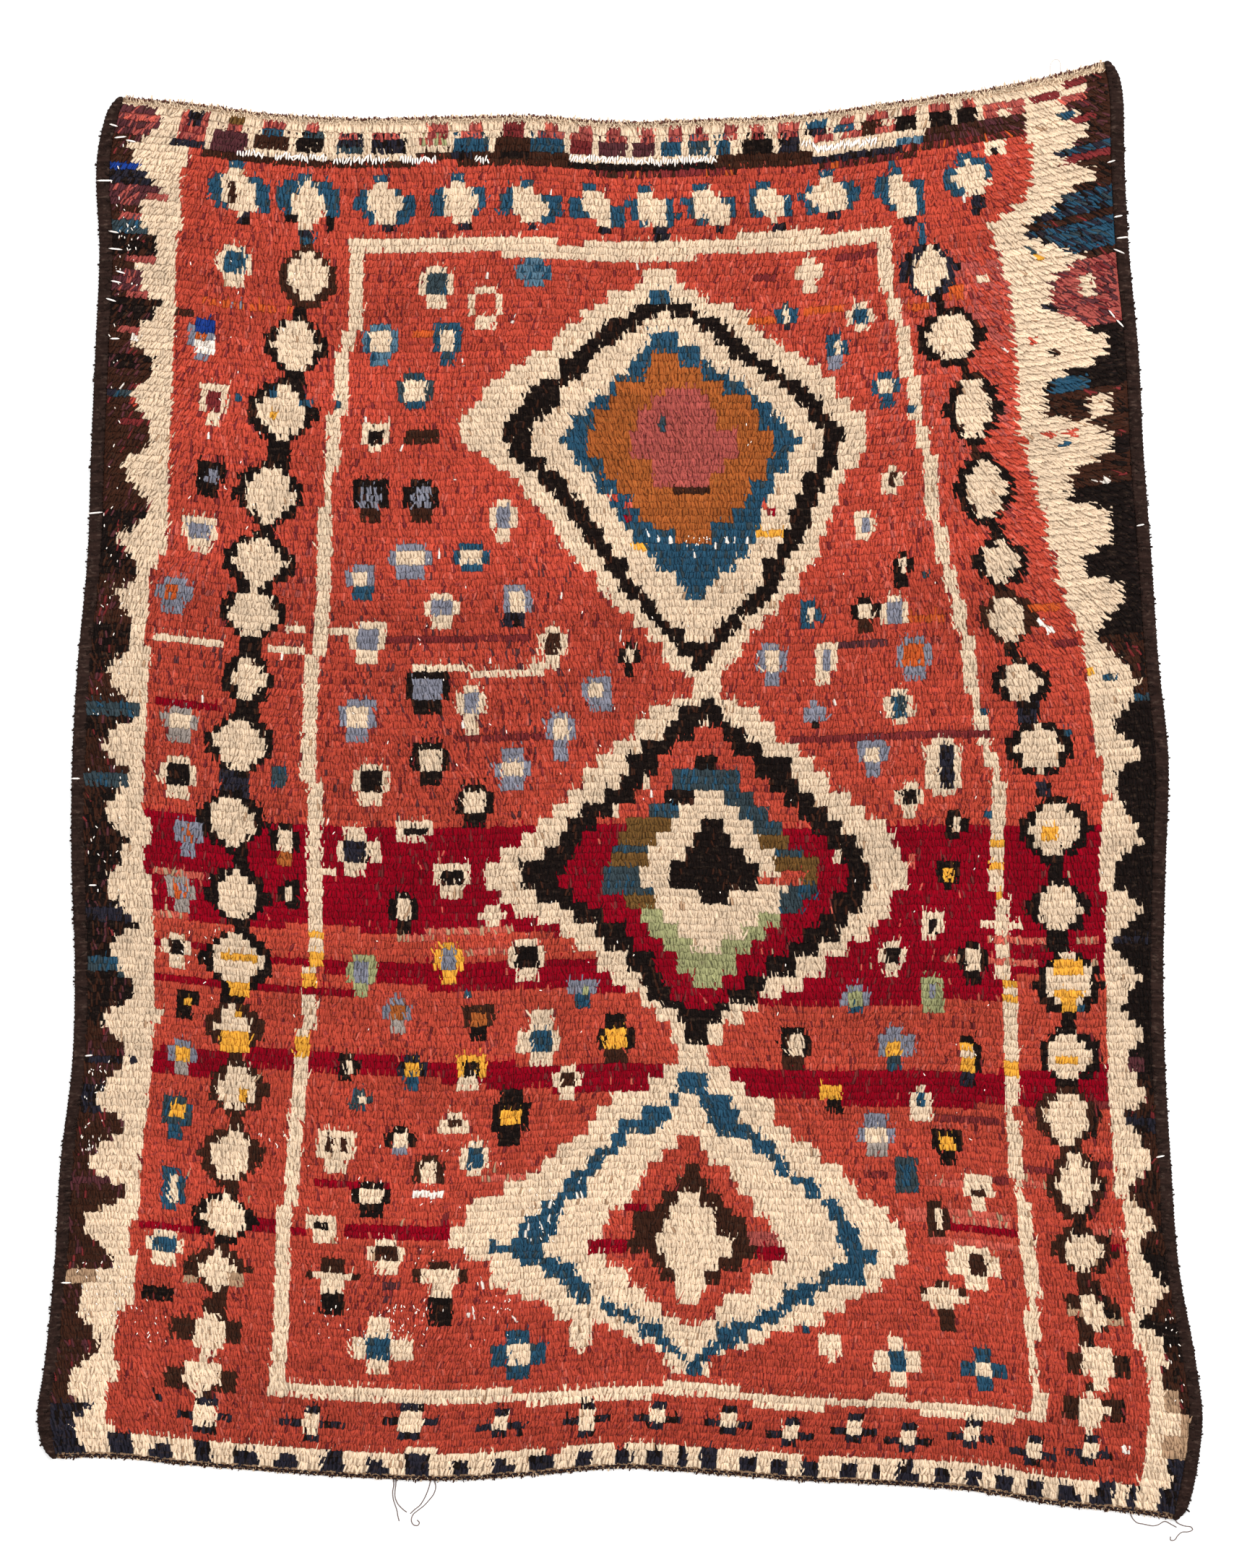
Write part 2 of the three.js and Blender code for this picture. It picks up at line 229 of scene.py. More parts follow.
RIGHT_TEETH = table("row reach", """
    0 140.5 | 2 140.5 | 3.5 138 | 5 140.5 | 8 140.5 | 9 137.5 | 10 136.5 | 11 139 | 12 141.5 | 14 141.5 |
    15 137 | 17 135 | 18 131.7 | 20 131.7 | 21 135.5 | 22 135.5 | 23 140.5 | 24.5 138 | 26 135 |
    30 134.5 | 31 137.5 | 33 139 | 34 141.5 | 37 141.5 | 38 138 | 39 133 | 44 132.6 | 45 138.5 |
    47 141.5 | 50 141.5 | 51 139 | 52 135.5 | 54 135.5 | 56 136.5 | 57 141.5 | 62 141 | 63 137 | 66 137 |
    67 142.2 | 70 142.2 | 71 140.4 | 73 138.3 | 75 137.6 | 76 139.5 | 78 141.4 | 80 142.7 | 82 142 |
    84 140.2 | 86 138.7 | 88 140.5 | 90 142.3 | 92 139.5 | 95 138.7 | 98 140.4 | 99 141.7 | 101.5 142.8 |
    103 140.5 | 104 138.6 | 107 138.6 | 108 140 | 110.5 143 | 112 142 | 113 140.5 | 114 139.2 |
    116 139.2 | 118 142 | 120 142.8 | 122 140.8 | 124 140 | 126 143 | 128 142.6 | 129 141 | 130 140.3 |
    131 140.8 | 132 142 | 135 142.9 | 136 142.4 | 137.5 140.2 | 139 140.4 | 141 142 | 142.3 143 |
    145 142.8 | 146.4 140.7 | 148.2 139.9 | 150.3 141.1 | 151 142.7 | 153 142.8 | 154.7 140.9 |
    156 140.7 | 158.4 142.2 | 160.4 143.8 | 162.4 142.5 | 164 140.2 | 165.7 139.2 | 166.5 140.9 |
    167.4 142 | 171 142.2 | 171.6 140.8 | 174.2 140.5 | 176.6 142.4 | 179 142.9 | 179.7 143.6 |
    181 143.8 | 182.8 143.4 | 183.3 141.8 | 185.5 142.9 | 186.7 143.1 | 188 142 | 190 141.4""")
RIGHT_TEETH_WOOL = table("row yarn", """
    0 brown | 9 blue | 10 maroon | 11 brown | 14.8 blue | 17.6 brown | 19 blue | 22.8 brown | 24 rose |
    33 black | 41.4 brown | 48 black | 50.4 brown | 54.4 black | 74 brown | 82 blue | 83 black |
    113.5 navy | 115 black | 132.5 brown | 138 navy | 139.6 brown | 156 black | 160 brown | 165 black |
    168 brown | 183 navy""")

# Ivory end bands with their small shapes
TOP_BAND_ROWS = 5
TOP_TREES = table("col col_end row yarn waist base_col base_end base_row base_row_end base", """
    9 12.8 0.4 rose rose 8 13.4 3.6 5 navy | 16 18 0.4 olive rose 14.2 19 2.4 4.6 plum |
    21.2 23.6 0.4 rose blue 19.6 24.6 2.4 4.4 brown | 27 29.2 0.4 rose teal 25.6 30.4 2.4 4.4 black |
    32.6 35 0.6 rose rose 31.6 35.6 2.4 4.4 navy | 37.8 40.6 0.6 rose rose 37 42 2.4 4 navy |
    45 47.6 0.4 rose rose 43.6 48.4 2.4 3.4 sage | 50.6 53 0.4 rose rose 49.3 54 2.4 4.4 blue |
    56.4 58.6 0.4 maroon maroon 54.8 59.8 2.4 4.6 brown | 61.8 64.2 0.4 rose rose 60.4 65.4 2.4 3.8 blue |
    66.8 68.6 0.4 rose rose 66.4 69.2 2.4 4 maroon | 71.2 73.2 0.4 rose rose 70 74.4 2.4 4 plum |
    76.2 77.8 0.4 rose rose 75 78.4 2.4 4 plum | 80 81.7 0.4 rose rose 79 82.2 2.4 4 blue |
    83.8 85.5 0.4 maroon rose 82.8 86.2 2.4 4 teal | 88.2 90 0.4 rose rose 87 89 2.4 4.2 blue |
    92 93.6 0.4 rose rose 91 95 2.4 4.6 black | 96.4 98.6 0.4 rose rose 95.5 99 2.4 4.4 navy |
    100.4 103 0.4 blue navy 101 104 1.9 2.8 rose | 104.8 107 0.4 rose blue 104.5 107.8 1.9 2.8 rose |
    109.8 111.4 0.4 rose rose 108.2 110.8 1.4 2.6 brown |
    114.4 115.8 0.4 rose rose 112.8 116.2 1.4 3 black |
    118.8 120.2 0.2 rose rose 117.6 120.6 1.4 3 black |
    123.2 124.6 0.4 rose rose 122.4 125 1.4 2.8 black | 126.8 128.4 0.6 rose rose 125.6 128 2.4 3.6 rose |
    129.4 131.8 1.4 rose rose 130 132 2.4 4 rose""")
TOP_LINE = table("col row col_end row_end yarn", """
    13 5 44 6 brown | 44 4.4 52 5.2 brown | 48.6 3.7 51.6 4.8 navy | 52 4 56 5 brown | 50 5 66 6 brown |
    56 4.4 60 5.2 black | 60 3.6 66 4.8 brown | 66 5 87 6 black | 87 4.2 101 5.6 brown |
    93 5 101 6.1 brown | 101 4.5 111 5.6 navy | 110 4.6 113.6 5.8 navy | 113 3.8 117 4.9 sky |
    115 5 132 6.2 maroon | 117 3.4 132 5 brown | 102 5.8 116 6.6 maroon""")
BOTTOM_BAND = table("col top", """
    7 186.3 | 10 187.1 | 16 186.9 | 18 186.5 | 22 187.2 | 26 187 | 31 186.5 | 40 186.8 | 48 186.3 |
    52 187.3 | 57 187.5 | 61 186.9 | 64 187.7 | 67 187.2 | 70 186.6 | 71.4 186.7 | 71.8 188.3 |
    72.8 188.3 | 73.2 187.2 | 80 186.9 | 86 186.9 | 88 187.3 | 91 186.9 | 97 187.6 | 100 187 | 110 187.3 |
    120 187.1 | 130 187.2 | 134 186.7 | 139.4 186.8""")
BOTTOM_TEETH = table("col col_end top", """
    6.7 9.8 187.3 | 12.7 14.7 188.3 | 17.8 20 187.8 | 23.2 25.8 188 | 28.5 31 188 | 34.4 36.8 187.8 |
    40 42.3 188 | 45 48 187.5 | 50.9 53 188.2 | 55.9 58.5 188 | 61 64 188.3 | 67.2 68.8 188 |
    71.9 73.6 188.2 | 76 77.6 188 | 80 81.1 187.8 | 83.1 85 187.8 | 87.8 89.5 188.2 | 92 93.7 188.2 |
    96.5 98.2 188.2 | 101.1 102.5 188 | 105 106 188.2 | 108.5 110.4 187.9 | 113.5 115 188.4 |
    117.2 118.6 188.2 | 121.3 122.8 188.5 | 125.2 126.4 188.2 | 129 131.3 188.2 | 133.7 135.7 187.6 |
    138.4 140 187.8""")

# Lozenge chains, the ties between their lozenges, and the ring of small lozenges along the top
TOP_LOZENGES = table("col row wide high lean left right left_row right_row yarn", """
    18.5 10.4 2.5 3.2 0.3 1.8 1.9 0 0.3 blue | 28.4 11.6 2.3 3.3 0 2 2.4 -1.1 -0.9 blue |
    39.3 10.9 2.1 3.1 0.4 1.8 2.2 0.6 0.4 blue | 50.3 11.1 2.2 2.8 0.3 2.2 1.6 0.2 -0.2 blue |
    60.2 11.6 2.2 2.8 0.3 2.3 2.8 -0.4 0 blue | 70 11.3 1.8 2.5 0.9 2.2 1.9 0 0.6 blue |
    78 11.8 2.2 2.6 0.6 1 1.2 0 0 blue | 86.2 11.5 2.2 2.7 1.1 1.1 1.6 0.4 0 blue |
    94.8 11.1 1.8 2.5 0.7 1.2 1.3 0.2 0.3 blue | 103.3 10.9 2.6 2.5 0.4 1.2 1.7 0.2 0 blue |
    113.8 11.9 1.6 3.4 1 1.7 1.6 -0.6 0.2 blue | 124 10.8 2.2 2.5 0.7 2.2 1.1 0.3 -0.8 blue""")
LOZENGES = table("col row wide high outline", """
    28 21.7 2.9 3.6 brown | 26.5 31.7 3 3.6 black | 24.8 41 3.3 4 black | 23.2 52.7 3.5 4 black |
    21.9 62.4 3.6 3.2 black | 21.5 69.6 3.3 3.2 black | 21.3 79 2.2 3.1 black | 20.6 88.4 3.3 3.6 black |
    19.8 99.3 3.2 3.5 black | 20.5 109.7 2.7 3.5 black | 20.3 119 3.4 3.7 black |
    19.9 128.7 2.5 3.3 brown | 20.7 137.1 2.6 3.3 brown | 20.7 146.6 2.7 3.6 brown |
    20.2 155.4 2.8 2.9 black | 19.5 162.8 2.2 2.6 brown | 117.3 22.7 2.7 3.2 navy |
    119.8 32 3.6 3.3 black | 122.5 42 2.9 4.1 black | 123.7 53.2 2.9 4.2 black |
    125.3 63.2 2.6 2.8 black | 125.7 70.7 2.5 3.1 brown | 126.9 79.5 2.7 2.6 black |
    128.5 88.5 3.1 3.1 black | 130.7 99.5 3.3 3.6 black | 131.6 110.1 2.9 3.3 black |
    133 120.2 3 4 black | 132.8 130 2.8 3.4 black | 132.2 138.2 3 3.5 brown | 133 147.4 2.5 4.1 brown |
    133.3 156.2 2.7 2.6 brown | 133.4 164.2 1.9 2.3 brown""")
TIES = table("col row col_end row_end yarn", """
    26.5 15.2 29.2 18.3 teal | 26 26 28.5 28.2 black | 24 36 28 38.3 black | 23.4 45.3 26 48.8 black |
    22 57 24.2 59 black | 20 65.3 22.8 66.8 black | 20 73 23 76 black | 19.5 82 22.7 84.7 black |
    18.3 92 21.7 95.6 navy | 19.6 103.2 22 106.3 black | 19.6 113.2 21.9 115.6 black |
    18.3 122.8 21.5 125.5 black | 18.7 132 21.5 134.2 navy | 19.5 140.2 22.2 142.8 brown |
    20.2 150.4 22.5 152.5 brown | 18.7 158 20.8 160.3 brown | 18.6 165.2 21.2 167.4 brown |
    17.6 167.4 21.2 169.6 brown | 17.7 174.5 19.3 176.2 brown | 17.6 180 20.4 181.3 brown |
    115.5 16 117 19 blue | 118 26 119.5 28.3 black | 120.5 35.5 122 38 black | 121.5 46 123.5 49.2 brown |
    124.3 57.5 126 60 black | 123.5 66 126 67.8 black | 125.2 73.9 127 76 black |
    126.3 82.3 128.8 85.5 navy | 128.2 93 130 95 navy | 129.4 95 131.5 97 navy |
    129.7 103.8 131.7 107 black | 130.3 113.8 133.2 116.3 black | 132 124.3 133.7 126 black |
    130.8 133 133 134.9 navy | 131.4 141.5 133.6 144 brown | 132.2 151.6 133.8 154 brown |
    131.9 158.6 133.9 160.4 brown | 132.4 160.4 134.6 162 brown | 131.2 166.3 133.2 169 brown |
    131 174 132.5 175.9 brown""")

# Ivory inner frame: the outer edge of its upright lines, and the middle of its level lines
FRAME_LEFT = table("row edge", """
    17 34.2 | 28 34.2 | 29 33 | 31.4 33 | 32 32.2 | 40 32.2 | 41 31 | 48 31 | 49 30.5 | 54 30.5 | 55 30 |
    68 30 | 69 29.7 | 78 29.4 | 83 28.8 | 90 28.9 | 94 29.7 | 104 30 | 107 30.3 | 114 30.5 | 115 30 |
    120 29.3 | 126 29.2 | 128.4 28.3 | 136 28.3 | 143 28.5 | 146 28.1 | 149 27.9 | 151 27.7 | 154 27.4 |
    157 27.2 | 163.5 27.2 | 166 26.6 | 172 26.7 | 178 26.7 | 180 26.9""")
FRAME_RIGHT = table("row edge", """
    16 110 | 20 110 | 25 110.5 | 30 111.8 | 35 112 | 38 112.9 | 41 113.3 | 44 113.6 | 46 114.2 |
    49 115.1 | 57 115.5 | 62 116.3 | 67 117.5 | 70 118 | 72 118.5 | 75 119 | 83 119.7 | 88 120.5 |
    91 121.5 | 97 122.3 | 100 121.8 | 105 122 | 110 122.8 | 115 123 | 119.5 123.3 | 120 124.4 |
    136 124.3 | 137 123.6 | 138.5 123.7 | 139 124.4 | 147 124.5 | 151 124.8 | 157 124.8 | 163 124.7 |
    167 124.3 | 169 123.7 | 176 123.7 | 180 123.9""")
FRAME_TOP = table("col middle", """
    34 17 | 45 17.1 | 60 17.3 | 65 17.8 | 76 17.6 | 80 17.5 | 85 17.2 | 90 16.7 | 100 16.7 | 105 16.8 |
    112 17.3""")
FRAME_BOTTOM = table("col middle", """
    27 178.6 | 30 179.2 | 39 178.8 | 50 179 | 55 179.1 | 62 179.8 | 70 179.9 | 75 179.8 | 78 179.1 |
    83 179 | 88 179.5 | 94 180 | 98 179.6 | 107 179.3 | 115 180 | 125 179.4""")
FRAME_WIDTH = 2.0
FRAME_DEPTH = 2.5
FRAME_BOTTOM_DEPTH = 1.8
FRAME_TOP_ENDS = (34, 112)
FRAME_BOTTOM_ENDS = (27, 125)
FRAME_GOLD = table("side row row_end", """
    left 114 115.4 | left 117 118.6 | left 120 122.6 | left 128.7 132 | right 101 102 | right 104 105 |
    right 108 109.4 | right 120 121 | right 122 123.4 | right 131.2 133.4""")
FRAME_SPURS = table("col row col_end row_end yarn", "31 105 34 106 ivory | 121 112 127 113 ivory")

# First medallion: its ivory outline, the dark line on it, and the rings inside
FIRST_IVORY = table("row left right", """
    20.1 76 80.9 | 22.4 75.6 81.6 | 22.8 71.6 84 | 24.6 71 85.4 | 25.3 68.6 89 | 27 67 91 | 29 64.7 92.5 |
    31 62.9 95.7 | 33 59.7 98.9 | 35.3 56 101 | 37 53.2 103 | 40 51.5 105 | 42 50.2 107.5 |
    45 50.2 107.5 | 47 53.9 106.5 | 50 57.6 103.7 | 52.5 59.3 102.8 | 54.5 61.3 102 | 57 63 101 |
    59.5 64.2 100 | 62 66.6 98.6 | 64.5 69 97 | 66.5 70 95.5 | 68 71 94 | 69.5 74 92 | 72 76.3 89.8 |
    74.5 77.9 88.6 | 76.5 79.3 86.8 | 78 81.5 86 | 80 81.5 86""")
FIRST_LINE = table("row a b c d", """
    25.5 75 79 79 83 | 27.5 70.8 76 83 87.5 | 29.5 68.5 72.7 86 89 | 31.5 66.7 70 87.6 91 |
    33.5 64.3 67.6 90.3 93.6 | 35 64.2 67.7 92 95.4 | 37 60.2 64 95.7 99 | 39.5 59.2 64 97.5 100.6 |
    41.3 57.3 62 99 101.8 | 43.3 55.9 59.7 100.8 103.6 | 45.5 56.5 59.7 100.8 103.5 |
    48 58.7 62.2 100 103.2 | 50.5 61.3 64.6 98 101.2 | 52.5 63.1 66.4 97 100.1 | 54.8 64.7 68 96.2 98.9 |
    57.3 66.5 69.5 95.4 98.5 | 60 68.3 70.8 93.8 96.6 | 62.4 70.1 73 92.1 95 | 64.6 71.7 74.3 91.5 94.4 |
    66.6 73.2 75.8 90 93 | 68.2 75 77.3 88.1 91.1 | 70.3 76.8 78.8 86.3 89 | 72.4 78.9 81.2 84.6 87.1 |
    74.4 80.4 83 83 85.5 | 76 82 83.2 83.2 84.3""")
FIRST_BLUE = table("row left right", """
    30 77.2 80.9 | 32 75.5 84 | 34 74.3 85.5 | 35.5 71.9 88 | 37 70.9 90.5 | 38.5 69 92.5 | 40 68 94 |
    41.7 66.4 95.5 | 44.5 64.3 97.6 | 47.5 66.4 96.3 | 50.3 69 94 | 53 70.6 93 | 55.5 72.3 92 | 58 74 91 |
    60 75.6 90 | 62.3 77.3 88 | 64.4 80 85.2 | 66.4 81.2 84.3""")
FIRST_OCHRE = table("row left right", """
    33 76.9 80.8 | 35 75.5 84 | 37 72.4 87 | 39 70.9 91 | 41.5 69 92.4 | 45 67.5 94.2 | 48.5 70 92.8 |
    51 72.4 90.6 | 53 73.8 90 | 55 75 88 | 56.5 77.1 85 | 58 80 85""")
FIRST_PINK = table("row left right", """
    37.5 79 84 | 39.3 77 85.3 | 41.5 75 86.5 | 45 73.6 89.3 | 48.5 76.7 87.4 | 50 77 85""")

FIRST_KNOB = table("col row col_end row_end yarn", "77 23 80 25 blue")

# Second medallion: its ground changes from red to crimson, and its ring has other yarns on the right
SECOND_RED_END = 98.7
SECOND_MIDDLE = 84
SECOND_IVORY = table("row left right", """
    80.4 81.5 86 | 81.5 79 88 | 83 75.8 90.6 | 85.4 73.6 93 | 87.8 71 95.8 | 90 69.4 98.5 |
    92.6 66.8 100.4 | 94.7 65.3 102.8 | 96.6 62.6 105.2 | 98.7 60.6 107.7 | 100.8 58.8 108.6 |
    102.6 55.6 109.8 | 104.5 53.6 111 | 107.5 53.6 111 | 109.2 56.1 109.5 | 110.8 57.5 109 |
    112.5 60.5 106.9 | 114.3 63.5 105.8 | 116.3 66.1 103 | 118.5 68.7 100.2 | 120.7 70.6 96.6 |
    122.5 73.3 94 | 124.2 74.6 90.9 | 126.4 76.8 89 | 128.5 78.8 86.2 | 130.6 80.1 84.4""")
SECOND_LINE = table("row a b c d", """
    81.5 82.7 84 84 85.2 | 83 80.3 83 83 86.2 | 84.5 79 83.5 83.5 87.5 | 86.3 77.8 82.3 85.6 88.8 |
    88 75.3 79.4 87.2 91 | 90.3 73.2 77.2 90.3 94.7 | 92.8 71.5 75.5 92 95.7 | 95 69.8 74.3 93.8 97.8 |
    97 67.3 71.5 95.8 100.4 | 98.5 65.1 69 98 102.5 | 100.7 63.7 67.3 99.7 103.9 |
    102.5 61.9 66 101.5 105.3 | 104.5 59 64.6 102.9 106.4 | 107 58.5 64.4 103.1 106.3 |
    109.2 60.7 66.1 101.3 105.1 | 110.6 63.7 68.3 101 105 | 112.2 66.1 70 99 103 |
    114.2 69 72.9 96.9 101.6 | 116.2 70 74.1 94.7 98.8 | 118.6 73 77 91.8 95.6 | 121 75.3 78.3 89 92.5 |
    122.8 76 79.4 87.2 90.7 | 124.5 77.7 81.1 84.6 87.5 | 126.3 79.5 83 83 86 | 128 81 82 82 83.7 |
    129.3 80.5 82 82 83.9""")
SECOND_RING = table("row left right yarn right_yarn", """
    90 81.7 85.1 black black | 92.5 79.4 88 teal teal | 95 77.5 90.5 black teal | 97 75.9 91.8 teal teal |
    99 73.3 94 olive teal | 100.9 71.8 95.3 olive olive | 102.4 71 97.3 teal teal |
    104 71 99 olive olive | 106 69.8 99 teal olive | 108 69.8 98.7 teal teal | 110 72.5 97.3 olive teal |
    112 74.6 94.4 sage sage | 114 76.4 92.2 sage sage | 116 78.4 90 sage sage | 118.5 80.3 88 sage sage |
    121 81.9 85.7 sage sage""")
SECOND_HEART = table("row left right", """
    95 81.7 86.1 | 96.8 80.1 87.6 | 98.8 78.8 89.6 | 101 76.5 91 | 103 75.6 92.7 | 106.5 74.9 94.6 |
    109.3 76.7 94 | 111.7 78.4 91 | 113.7 80.3 88.7 | 116 82.4 85.7""")
SECOND_CROSS = table("row left right", """
    98.7 82.5 86 | 101 81.5 86.7 | 102.7 80.6 88.9 | 105.6 79.3 90.8 | 109.5 82.5 87""")

# Third medallion
THIRD_IVORY = table("row left right", """
    131.5 80 84.5 | 134 78 86.7 | 136.2 75.5 89.3 | 138.4 71.3 93.5 | 140.4 69.4 93.3 | 142 68.4 95 |
    143.6 66.4 98.3 | 145.3 63.7 98.7 | 147 62 101.6 | 148.5 60 103.5 | 149.8 57.2 104.3 |
    151.5 53.3 106.4 | 153.3 52.2 108.2 | 154.3 51.7 108.8 | 156.5 50 109.8 | 159 52.3 110.2 |
    161.4 55 108.3 | 163 55.4 106.5 | 164.3 57 103.5 | 165.6 59 101.4 | 166.6 61.5 101 | 167.8 63 98 |
    169.4 68 94 | 170.5 69.6 91.3 | 171.6 71.6 89.6 | 172.6 73.2 88.4 | 173.7 76 85.2 | 174.8 77.4 83 |
    176.3 78 82.8""")
THIRD_LINE = table("row a b c d", """
    135.6 80.3 82.2 82.2 84.1 | 138 79.2 80.4 83.4 87 | 139.8 74.7 79.5 83.8 88 |
    141.2 72.4 78.4 85 89.6 | 142.4 71.8 77 85.2 91.3 | 144 70.6 73.3 90 92.6 | 145.6 69 71.8 91.5 94 |
    147 67.6 70 92.6 95.4 | 148.5 66.3 68.9 95 97.7 | 150 65 68 96.8 99.3 | 151.5 63.8 67.6 98.5 100.8 |
    153 61.6 65.4 99.9 102 | 154.6 60 64.2 101 103 | 156.2 58.8 63.8 101.2 104.2 |
    157.3 58.3 63.2 100.6 104.4 | 159 58 62.5 101.5 106.2 | 160.6 58.6 63.6 99.8 104 |
    162 62.2 66.4 97.8 103.6 | 163.4 63.6 67 94.6 99 | 165 65 67.8 93.2 96.6 | 166.4 66 68.4 91.8 94.4 |
    167.4 69 70.8 90.4 92.6 | 168.5 69.8 72.6 88.8 91.6 | 169.8 71.8 73.8 86.4 89.8 |
    171 73.8 76.6 84 87.8 | 172.2 76 77.8 83 85.6 | 173.4 77.4 79 82.2 83.6 | 174.4 78.6 80 81.2 82.8 |
    176 79.8 80.7 80.7 81.6""")
THIRD_RED = table("row left right", """
    144 79.7 82.8 | 146.3 78.4 84.3 | 148.5 76.3 87.4 | 150.3 75 87.7 | 151.9 73.6 89.8 |
    153.3 72.8 89.7 | 154.9 70.5 92.5 | 156.8 70.2 93.2 | 158.7 68.2 94.3 | 161 70.3 91.8 |
    163.7 73.3 89.4 | 166.2 75.3 85.5 | 168.4 77.4 83.6 | 169.8 78.9 82.4""")
THIRD_BROWN = table("row left right", """
    148 81.1 83.2 | 149.4 80.2 84 | 152 77.8 85.9 | 153.6 76.6 87.4 | 155 74.4 88.9 | 157.2 74 88.8 |
    159 73 89.9 | 161.3 75.7 88 | 163.5 77.4 85.2""")
THIRD_HEART = table("row left right", """
    151.6 80 83.5 | 153.4 79 84.7 | 155.6 77.6 85.4 | 158.5 77 86.8 | 161 78.3 84.7 | 163.4 79.3 82.9 |
    166 79.4 82""")
THIRD_KNOB = table("col row col_end row_end yarn", "80 134 84 137 blue")
THIRD_STREAKS = table("col row col_end row_end yarn", """
    90 158 94 160 crimson | 68 158 73 160 crimson | 89 156 93 158 rose | 73 153 76 154 crimson""")
THIRD_LEFT_TIP = table("col row col_end row_end yarn", "55 157 58 159 blue | 56 157 58 158 ivory")

# Crimson grounds that change with the dye lot
CRIMSON_BANDS = (
    table("col top bottom", """
        8 99 113.4 | 20 98.7 113.6 | 34 98.5 113.4 | 62 98.6 114.4 | 78 98.8 117 | 92 98.9 124.4 |
        112 99.3 124.5 | 114 99.3 123 | 125 99 122.6 | 126 98.8 119.5 | 138.6 98.6 119.5"""),
    table("col top bottom", """
        8 117.2 118.4 | 30 117.6 118.6 | 36 117.6 121 | 62 118.2 122.3 | 78 118.5 123"""),
    table("col top bottom", """
        8 132.7 136.4 | 16 132 135.8 | 24 131.1 134.2 | 40 131.2 133.5 | 48 131.8 134.5 | 58 132.5 136.2 |
        70 132.7 136.9 | 90 132.9 137 | 98 133.4 137.3 | 110 133.4 138 | 118 133.2 138 | 122 132.6 137.2 |
        128 131.7 136.5 | 139 131 135.8"""),
)

# Streaks of other wool in the ground, woven before the medallions: box of knots and its yarn
STREAKS = table("col row col_end row_end yarn", """
    9 122.4 37 123.2 crimson | 9 107 16 107.8 pink | 9 112.7 13 113.4 pink | 45.5 113 58 114 pink |
    41.5 114.3 47 115.3 pink | 51 116 57 117 pink | 116 117.5 129.5 118.4 pink |
    121.5 114.3 130 115.2 pink | 133.8 114.3 137.5 115.2 pink | 133.8 117.4 137.5 118.5 pink |
    9 83 18 84 crimson | 50 86.3 66 87.2 maroon | 95 86.3 122 87.2 maroon | 7.5 74 18.5 75 ivory |
    23.5 74 29.5 75 ivory | 26 70.6 29.5 71.6 ivory | 31.5 70.6 35 71.6 ivory | 42.7 28.5 46 29.6 rust |
    91 27 97 27.9 rust | 99 26.4 105 27.4 rust | 112 70 117.5 71 rust | 129 69 133.5 70 rust |
    102.3 73 109.5 74 plum | 32 148.6 42.4 149.6 crimson | 9 156.6 17 158.2 crimson |
    23.4 155.4 27.2 156.9 crimson | 29.4 155.6 31.4 156.6 crimson | 35.5 155.4 50 157.4 crimson |
    48.7 153.8 50 154.8 crimson | 54 147.7 61 148.6 pink | 113 148 118 149.5 pink |
    126 146.8 130 148 pink | 110 152.3 124.5 153.6 pink | 115.6 154.2 124.8 155.3 crimson |
    113 155.8 124.8 156.7 pink | 134.5 152.8 139 154 pink | 134 154.6 139 156.3 crimson |
    114.5 139 123.5 139.8 maroon | 126.5 137.8 130 138.6 maroon | 120.5 147.2 124.4 147.9 maroon |
    126.3 145.6 130 146.3 maroon | 134.8 144.4 138 145.2 maroon | 105 147 108.4 147.7 maroon |
    134.6 136.4 138.2 137.1 maroon | 70 5.9 90 7 maroon | 13 26 26 26.9 rust | 9 28.2 12.5 28.9 brown |
    104 19.2 110 19.9 maroon | 91.5 21.5 95 22.3 maroon | 42 43.6 47 44.4 brown | 40 72.4 60 73.4 maroon |
    43.5 76.4 52 77.3 ivory | 52 77.4 62 78.3 ivory | 60 76.3 63 77.2 ivory""")

